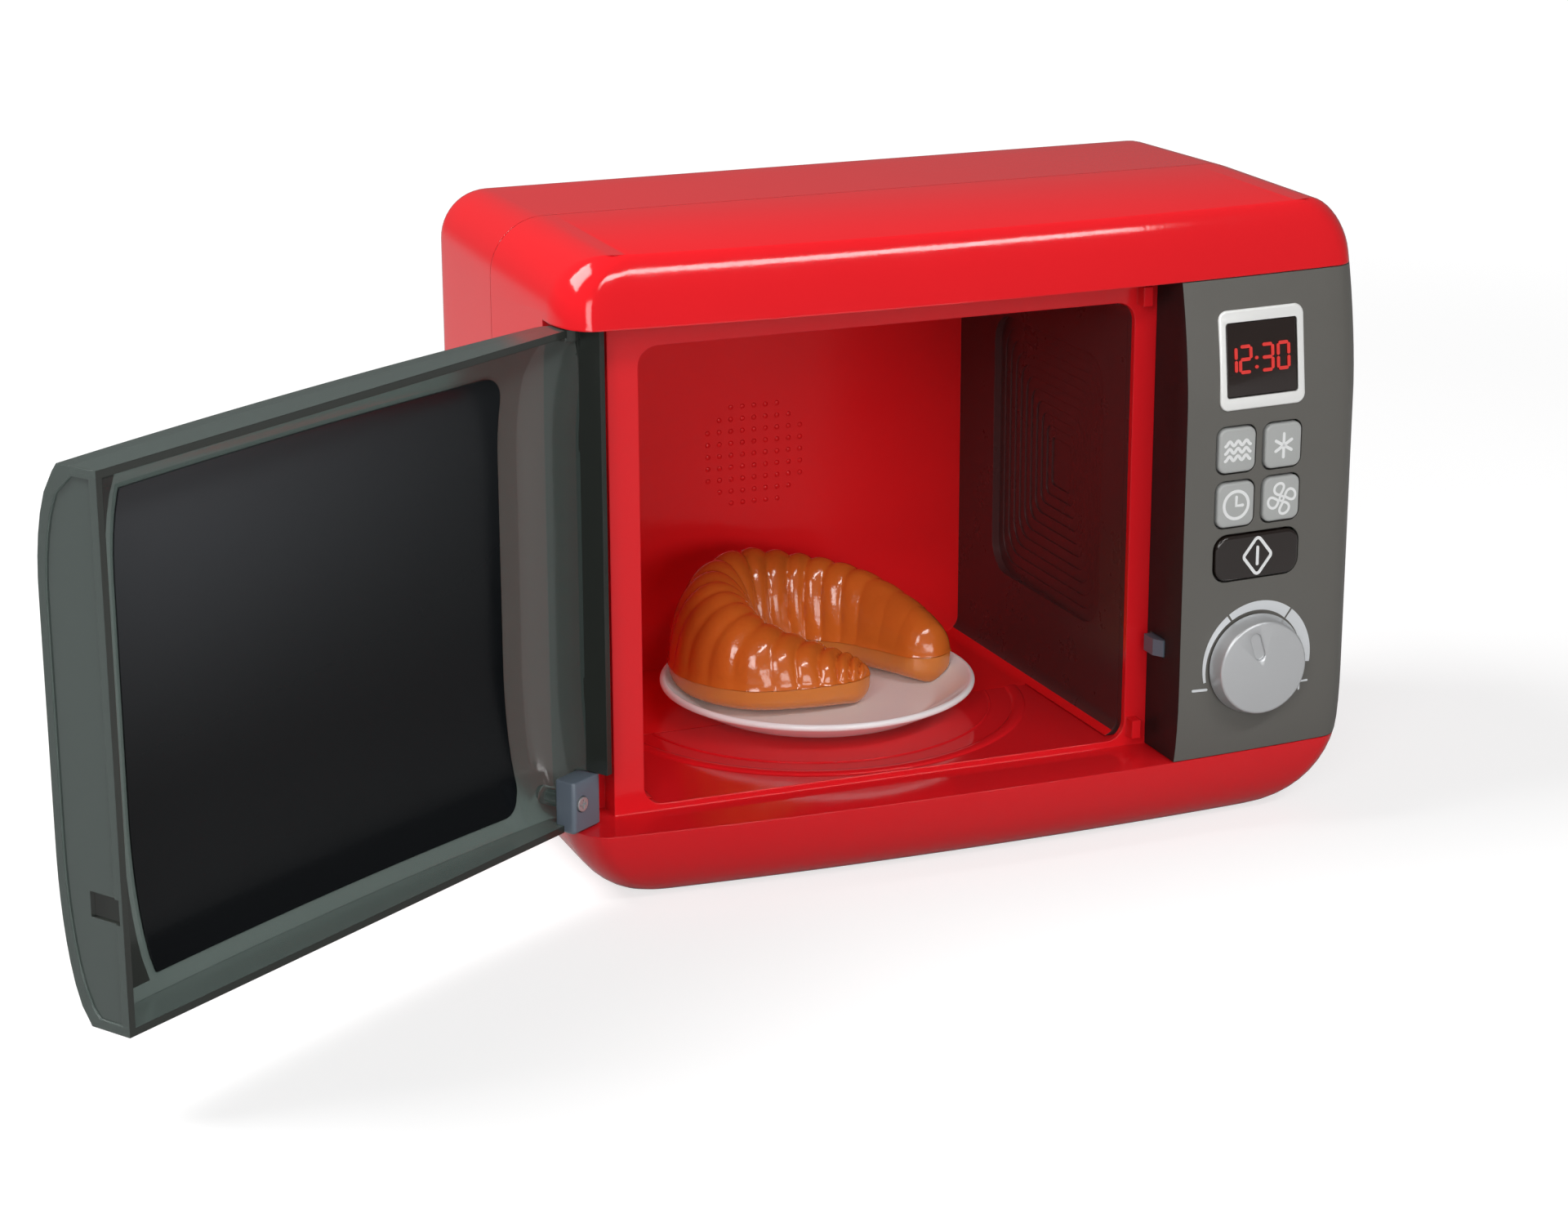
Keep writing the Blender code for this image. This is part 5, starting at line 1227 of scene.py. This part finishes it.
def moulding_group():
    """Even plastic: a slow drift of shade, a fine skin, and faint rubbed patches in the gloss."""
    tree = bpy.data.node_groups.new("moulded skin", "ShaderNodeTree")
    sockets = (
        ("Colour", "NodeSocketColor", "INPUT"),
        ("Drift", "NodeSocketFloat", "INPUT"),
        ("Grain Scale", "NodeSocketFloat", "INPUT"),
        ("Smooth", "NodeSocketFloat", "INPUT"),
        ("Rubbed", "NodeSocketFloat", "INPUT"),
        ("Colour", "NodeSocketColor", "OUTPUT"),
        ("Roughness", "NodeSocketFloat", "OUTPUT"),
        ("Height", "NodeSocketFloat", "OUTPUT"),
    )
    for name, kind, side in sockets:
        tree.interface.new_socket(name=name, in_out=side, socket_type=kind)
    given = tree.nodes.new("NodeGroupInput").outputs
    shade = reckon(tree, "MULTIPLY_ADD", noise(tree, SHADE_SCALE, 3.0), given["Drift"], SHADE_LEVEL)
    colour = add(tree, "VectorMath", {0: given["Colour"], "Scale": shade}, operation="SCALE")[0]
    patches = noise(tree, PATCH_SCALE, 6.0, 0.65)
    feed(tree, tree.nodes.new("NodeGroupOutput"), {
        "Colour": colour,
        "Roughness": stretched(tree, patches, *PATCH_RANGE, given["Smooth"], given["Rubbed"]),
        "Height": noise(tree, given["Grain Scale"]),
    })
    return tree


MOULDING = moulding_group()


def bare_material(name):
    material = bpy.data.materials.new(name)
    material.use_nodes = True
    return material, material.node_tree, material.node_tree.nodes["Principled BSDF"]


def plastic(name, colour, smooth, rubbed, drift=0.06, grain=900.0, bump=0.02, edge=0.0004, **uniform):
    """A moulded plastic with soft edges. The keywords set the shader's own sockets."""
    material, tree, shader = bare_material(name)
    skin = add(tree, "Group", {
        "Colour": (*colour, 1),
        "Drift": drift,
        "Grain Scale": grain,
        "Smooth": smooth,
        "Rubbed": rubbed,
    }, node_tree=MOULDING)
    relief = {"Strength": bump, "Distance": BUMP_DISTANCE, "Height": skin["Height"]}
    if edge:
        relief["Normal"] = add(tree, "Bevel", {"Radius": edge}, samples=4)["Normal"]
    feed(tree, shader, {
        "Base Color": skin["Colour"],
        "Roughness": skin["Roughness"],
        "Normal": add(tree, "Bump", relief)["Normal"],
    })
    for socket, value in uniform.items():
        shader.inputs[socket.replace("_", " ")].default_value = value
    return material


def tinted(material, colour, share_in):
    """Blends a plastic's colour towards another one. share_in(tree, place) gives how far."""
    tree = material.node_tree
    shader = tree.nodes["Principled BSDF"]
    own = shader.inputs["Base Color"].links[0].from_socket
    place = add(tree, "SeparateXYZ", {0: own_place(tree)})
    feed(tree, shader, {"Base Color": blended(tree, share_in(tree, place), own, (*colour, 1))})
    return material


def baked_share(tree, place):
    """More towards the top of the croissant, in patches."""
    high = stretched(tree, place["Z"], BUN_PARTING, BUN_PARTING + BUN_HEIGHT)
    return reckon(tree, "MULTIPLY", high, noise(tree, BAKED_SCALE, 5.0))


# Painted sheen on the door's film: its colour lightens towards the top and the free end, standing in for a
# reflection.
FILM_PAINTED_SHEEN_HEIGHTS = (0.085, 0.200)
FILM_PAINTED_SHEEN_PLACES = (-0.10, -0.36)


def painted_sheen_share(tree, place):
    """Share of the painted sheen: more over the film's upper half and towards its free end."""
    upwards = stretched(tree, place["Z"], *FILM_PAINTED_SHEEN_HEIGHTS, blend="SMOOTHSTEP")
    outwards = stretched(tree, place["X"], *FILM_PAINTED_SHEEN_PLACES, blend="SMOOTHSTEP")
    return reckon(tree, "MULTIPLY", upwards, outwards)


def glowing(name, colour, dimmer, strength):
    material, tree, shader = bare_material(name)
    feed(tree, shader, {
        "Base Color": (0.05, 0.0, 0.0, 1),
        "Emission Color": blended(tree, noise(tree, GLOW_SCALE), (*colour, 1), (*dimmer, 1)),
        "Emission Strength": strength,
    })
    return material


def outer_finishes():
    return {
        "body_red": plastic(
            "glossy red", (0.78, 0.012, 0.018), 0.07, 0.12, edge=0.0007, Specular_IOR_Level=0.4
        ),
        # A lighter red than the body's: painted light that makes up for the dim cavity.
        "cavity_red": plastic("cavity red, painted light", (0.86, 0.013, 0.017), 0.16, 0.24, Specular_IOR_Level=0.2),
        # Painted shade: the cavity's right wall is the same red moulding, darkened here because it lies in
        # shadow.
        "side_wall_painted_shade": plastic(
            "cavity side wall, painted shade", (0.080, 0.030, 0.030), 0.27, 0.30, drift=0.03, Specular_IOR_Level=0.2
        ),
        "panel_grey": plastic("panel grey", (0.125, 0.120, 0.108), 0.36, 0.44, grain=2600.0, bump=0.05),
        # Painted shade: the panel's side wall beside the cavity is the same grey moulding, made near black
        # where it lies in shadow and mirrors the dark door.
        "pod_side_painted_shade": plastic(
            "pod side, painted shade", (0.020, 0.016, 0.016), 0.40, 0.50, grain=2600.0, bump=0.05, Specular_IOR_Level=0.2
        ),
        "silver": plastic(
            "silver paint", (0.60, 0.61, 0.62), 0.28, 0.36, grain=5200.0, bump=0.03, Metallic=0.55
        ),
        "frame_silver": plastic(
            "frame silver", (0.95, 0.95, 0.93), 0.28, 0.30, drift=0.02, grain=4200.0, Metallic=0.15
        ),
        "display_dark": plastic("smoked window", (0.022, 0.014, 0.012), 0.05, 0.10, Coat_Weight=0.4),
        "start_brown": plastic("smoked button", (0.016, 0.010, 0.008), 0.08, 0.14, Coat_Weight=0.5),
        "key_grey": plastic("key grey", (0.44, 0.45, 0.44), 0.30, 0.38, grain=2200.0, bump=0.03),
        "ink_white": plastic("white ink", (0.86, 0.87, 0.87), 0.35, 0.45, edge=0.0),
        "ink_silver": plastic("silver ink", (0.74, 0.76, 0.78), 0.28, 0.36, edge=0.0, Metallic=0.15),
        "digit_red": glowing("digit glow", (0.85, 0.045, 0.035), (0.6375, 0.0225, 0.0175), 0.85),
    }


def door_finishes():
    film = plastic("printed film", (0.004, 0.005, 0.006), 0.12, 0.20, bump=0.01, Specular_IOR_Level=0.2)
    return {
        "door_smoke": plastic(
            "smoked door", (0.145, 0.185, 0.170), 0.10, 0.18, Transmission_Weight=0.6, IOR=1.5
        ),
        # Painted shade: an opaque dark in place of the smoked plastic where the door lies in shadow, on its
        # rim and inner strip.
        "door_painted_shade": plastic("door painted shade", (0.030, 0.034, 0.030), 0.12, 0.20),
        # The film's lighter patch is a painted reflection, not print.
        "film_dark": tinted(film, (0.060, 0.064, 0.070), painted_sheen_share),
        "blue_grey": plastic("blue grey", (0.13, 0.16, 0.20), 0.30, 0.40, grain=2000.0, bump=0.05),
    }


def inner_finishes():
    return {
        "steel": plastic("zinc steel", (0.55, 0.55, 0.56), 0.25, 0.40, grain=3000.0, Metallic=0.6),
        "inner_black": plastic("inner black", (0.02, 0.02, 0.02), 0.45, 0.60),
        "board_green": plastic("board green", (0.01, 0.12, 0.04), 0.35, 0.50),
        "rubber_grey": plastic("mat rubber", (0.30, 0.30, 0.32), 0.60, 0.75),
        "lamp_amber": plastic("lamp amber", (0.50, 0.12, 0.02), 0.15, 0.20),
        "cell_wrap": plastic("cell wrap", (0.10, 0.10, 0.12), 0.30, 0.40),
    }


def food_finishes():
    crust = plastic(
        "croissant crust", (0.56, 0.13, 0.018), 0.12, 0.22, drift=0.45, grain=380.0, bump=0.18, edge=0.0,
        Coat_Weight=0.5,
    )
    return {
        # The plate glows faintly: painted light that brightens it in the dim cavity.
        "plate_white": plastic(
            "plate white, painted glow", (0.93, 0.93, 0.93), 0.08, 0.16, drift=0.03, Emission_Strength=0.04
        ),
        "crust": tinted(crust, (0.33, 0.055, 0.008), baked_share),
        "crumb": plastic(
            "croissant base", (0.62, 0.19, 0.035), 0.18, 0.28, drift=0.3, grain=300.0, bump=0.1,
            Subsurface_Weight=0.1, Coat_Weight=0.3,
        ),
    }


LOOKS = {**outer_finishes(), **door_finishes(), **inner_finishes(), **food_finishes()}


# The pieces

# Picks the cavity's right wall, which gets the painted shade.
def on_shaded_right_wall(face):
    return face.center.x > CAVITY_RIGHT - CAVITY_DRAFT - GAP


# Picks the panel's side wall, which gets the painted shade.
def on_pod_side(face):
    return face.normal.x < -0.9 and face.center.x < POD_LEFT + GAP


def on_shaded_door_faces(face):
    """Faces given painted shade: the rim above the hinge block, and the hollow's strip between the film and
    the free end.
    """
    x, y, z = SWING.inverted() @ face.center
    rim = y > DOOR_RIM - GAP and z > BLOCK_HEIGHTS[1]
    hollow = y > front_y(x, z, 0.0, DOOR_ROUNDING) + DOOR_WALL / 2
    beside_film = FILM[1] - DOOR_WALL < z < FILM[3] + DOOR_WALL and FILM[2] < x < DOOR_RIGHT - DOOR_WALL / 2
    return rim or (hollow and beside_film)


def make_housing():
    dress(front_housing(), "front_shell", "root", "body_red", ["front_housing"])
    dress(rear_housing(), "rear_shell", "root", "body_red", ["rear_housing"])
    tub = dress(cavity_liner(), "cavity_tub", "root", "cavity_red", ["cavity_liner"])
    second_finish(tub, "side_wall_painted_shade", on_shaded_right_wall)
    dress(back_dots(), "cavity_dots", "root", "cavity_red")


def make_panel():
    panel = dress(control_panel(), "panel_shell", "root", "panel_grey", ["control_panel"])
    second_finish(panel, "pod_side_painted_shade", on_pod_side)
    dress(display_bezel(), "display_frame", "root", "frame_silver", ["display_bezel"])
    dress(display_window(), "display_pane", "root", "display_dark", ["display_window"])
    printed(digit_parts(), DISPLAY_PROUD, "time_digits", "root", "digit_red")
    printed(scale_parts(), 0.0, "timer_scale", "root", "ink_silver")
    dress(timer_knob(), "knob", "knob_body", "silver", ["timer_knob"])


def make_keys():
    pictures = (wave_parts, star_parts, clock_parts, fan_parts)
    for (name, place), picture in zip(KEY_PLACES.items(), pictures):
        body = f"{name}_body"
        key = crowned(key_section(*place), KEY_CORNER, KEY_PROUD, KEY_BACK)
        dress(key, f"{name}_cap", body, "key_grey", [name])
        printed(picture(*place), KEY_PROUD, f"{name}_picture", body, "ink_white")
    body = "start_button_body"
    button = crowned(START_BUTTON, START_CORNER, KEY_PROUD, KEY_BACK)
    dress(button, "start_cap", body, "start_brown", ["start_button"])
    left, bottom, right, top = START_BUTTON
    picture = start_parts((left + right) / 2, (bottom + top) / 2)
    printed(picture, KEY_PROUD, "start_picture", body, "ink_white")


def make_door():
    tray = dress(door_shell(), "door_tray", "door", "door_smoke", ["door_shell"])
    second_finish(tray, "door_painted_shade", on_shaded_door_faces)
    dress(door_film(), "door_sheet", "door", "film_dark", ["door_film"])
    dress(hinge_block(), "lower_hinge", "door", "blue_grey", ["hinge_block"])


def make_food():
    dress(plate(), "dish", "plate_body", "plate_white", ["plate"])
    dress(bun_half(True), "crust", "croissant_body", "crust", ["croissant_top"], sharp_degrees=75)
    dress(bun_half(False), "bun_base", "croissant_body", "crumb", ["croissant_base"], sharp_degrees=50)


def dress_nodes():
    """The CAD nodes that stay get the finish of their material slot."""
    for part in frame["record"]["subparts"]:
        node = frame["nodes"][part["node"]]
        node.data.materials.clear()
        node.data.materials.append(LOOKS[part["material_slot"]])


# Stage, light and camera

CAMERA_AT = Vector((-0.5073, -1.1737, 0.4717))
CAMERA_FORWARD = Vector((0.3505, 0.8874, -0.2993))
CAMERA_RIGHT = Vector((0.9298, -0.3680, -0.0024))
CAMERA_LENS = 82.77
CAMERA_SENSOR = 36.0
FLOOR_REACH = 8.0
FLOOR_GREY = 0.35
FLOOR_GLOW = 0.71
FLOOR_FADE = (0.7, 1.8)
WORLD_LIGHT = 0.15
MIRRORED_SHARE = 0.12
WHITE = (1, 1, 1, 1)
# Softboxes: place, width, height and power
SOFTBOXES = (
    ((-1.3, 0.3, 1.7), 1.0, 1.0, 42.0),
    ((0.5, -1.7, 1.75), 1.6, 0.18, 16.0),
    ((0.3, -2.4, 0.35), 1.4, 0.6, 12.0),
    ((-1.2, -1.9, 1.1), 0.8, 0.8, 15.0),
)


def seen_directly(tree):
    """1 for rays from the camera or through clear plastic, a share for mirrored rays, 0 for light."""
    ray = add(tree, "LightPath")
    mirrored = reckon(tree, "MULTIPLY", ray["Is Glossy Ray"], MIRRORED_SHARE)
    direct = reckon(tree, "MAXIMUM", ray["Is Camera Ray"], ray["Is Transmission Ray"])
    return reckon(tree, "MAXIMUM", direct, mirrored)


def make_floor():
    reach = FLOOR_REACH
    points = [(-reach, -reach, 0), (reach, -reach, 0), (reach, reach, 0), (-reach, reach, 0)]
    floor = object_of("floor", points, [(0, 1, 2, 3)])
    floor.location.z = -GAP
    material, tree, shader = bare_material("pale floor")
    distance = add(tree, "VectorMath", {0: own_place(tree)}, operation="LENGTH")["Value"]
    fade = stretched(tree, distance, *FLOOR_FADE, FLOOR_GLOW, blend="SMOOTHSTEP")
    feed(tree, shader, {
        "Base Color": (FLOOR_GREY, FLOOR_GREY, FLOOR_GREY, 1),
        "Roughness": 0.8,
        "Specular IOR Level": 0.2,
        "Emission Color": WHITE,
        "Emission Strength": reckon(tree, "MULTIPLY", seen_directly(tree), fade),
    })
    floor.data.materials.append(material)


def make_lights():
    for number, (place, width, height, power) in enumerate(SOFTBOXES, 1):
        light = bpy.data.lights.new(f"softbox_{number}", "AREA")
        light.shape = "RECTANGLE"
        light.size = width
        light.size_y = height
        light.energy = power
        lamp = placed(light.name, light)
        lamp.location = place
        aim = Vector((0, 0, HEIGHT / 2)) - Vector(place)
        lamp.rotation_euler = aim.to_track_quat("-Z", "Y").to_euler()


def make_world():
    world = bpy.data.worlds.new("studio")
    bpy.context.scene.world = world
    world.use_nodes = True
    tree = world.node_tree
    level = reckon(tree, "MAXIMUM", seen_directly(tree), WORLD_LIGHT)
    feed(tree, tree.nodes["Background"], {"Color": WHITE, "Strength": level})


def make_camera():
    camera = bpy.data.cameras.new("camera")
    camera.lens = CAMERA_LENS
    camera.sensor_width = CAMERA_SENSOR
    made = placed("camera", camera)
    up = CAMERA_RIGHT.cross(CAMERA_FORWARD).normalized()
    right = CAMERA_FORWARD.cross(up).normalized()
    turn = Matrix((right, up, -CAMERA_FORWARD.normalized())).transposed()
    made.matrix_world = Matrix.Translation(CAMERA_AT) @ turn.to_4x4()
    bpy.context.scene.camera = made


dress_nodes()
make_housing()
make_panel()
make_keys()
make_door()
make_food()
make_floor()
make_lights()
make_world()
make_camera()
bpy.context.scene.view_settings.view_transform = "Standard"
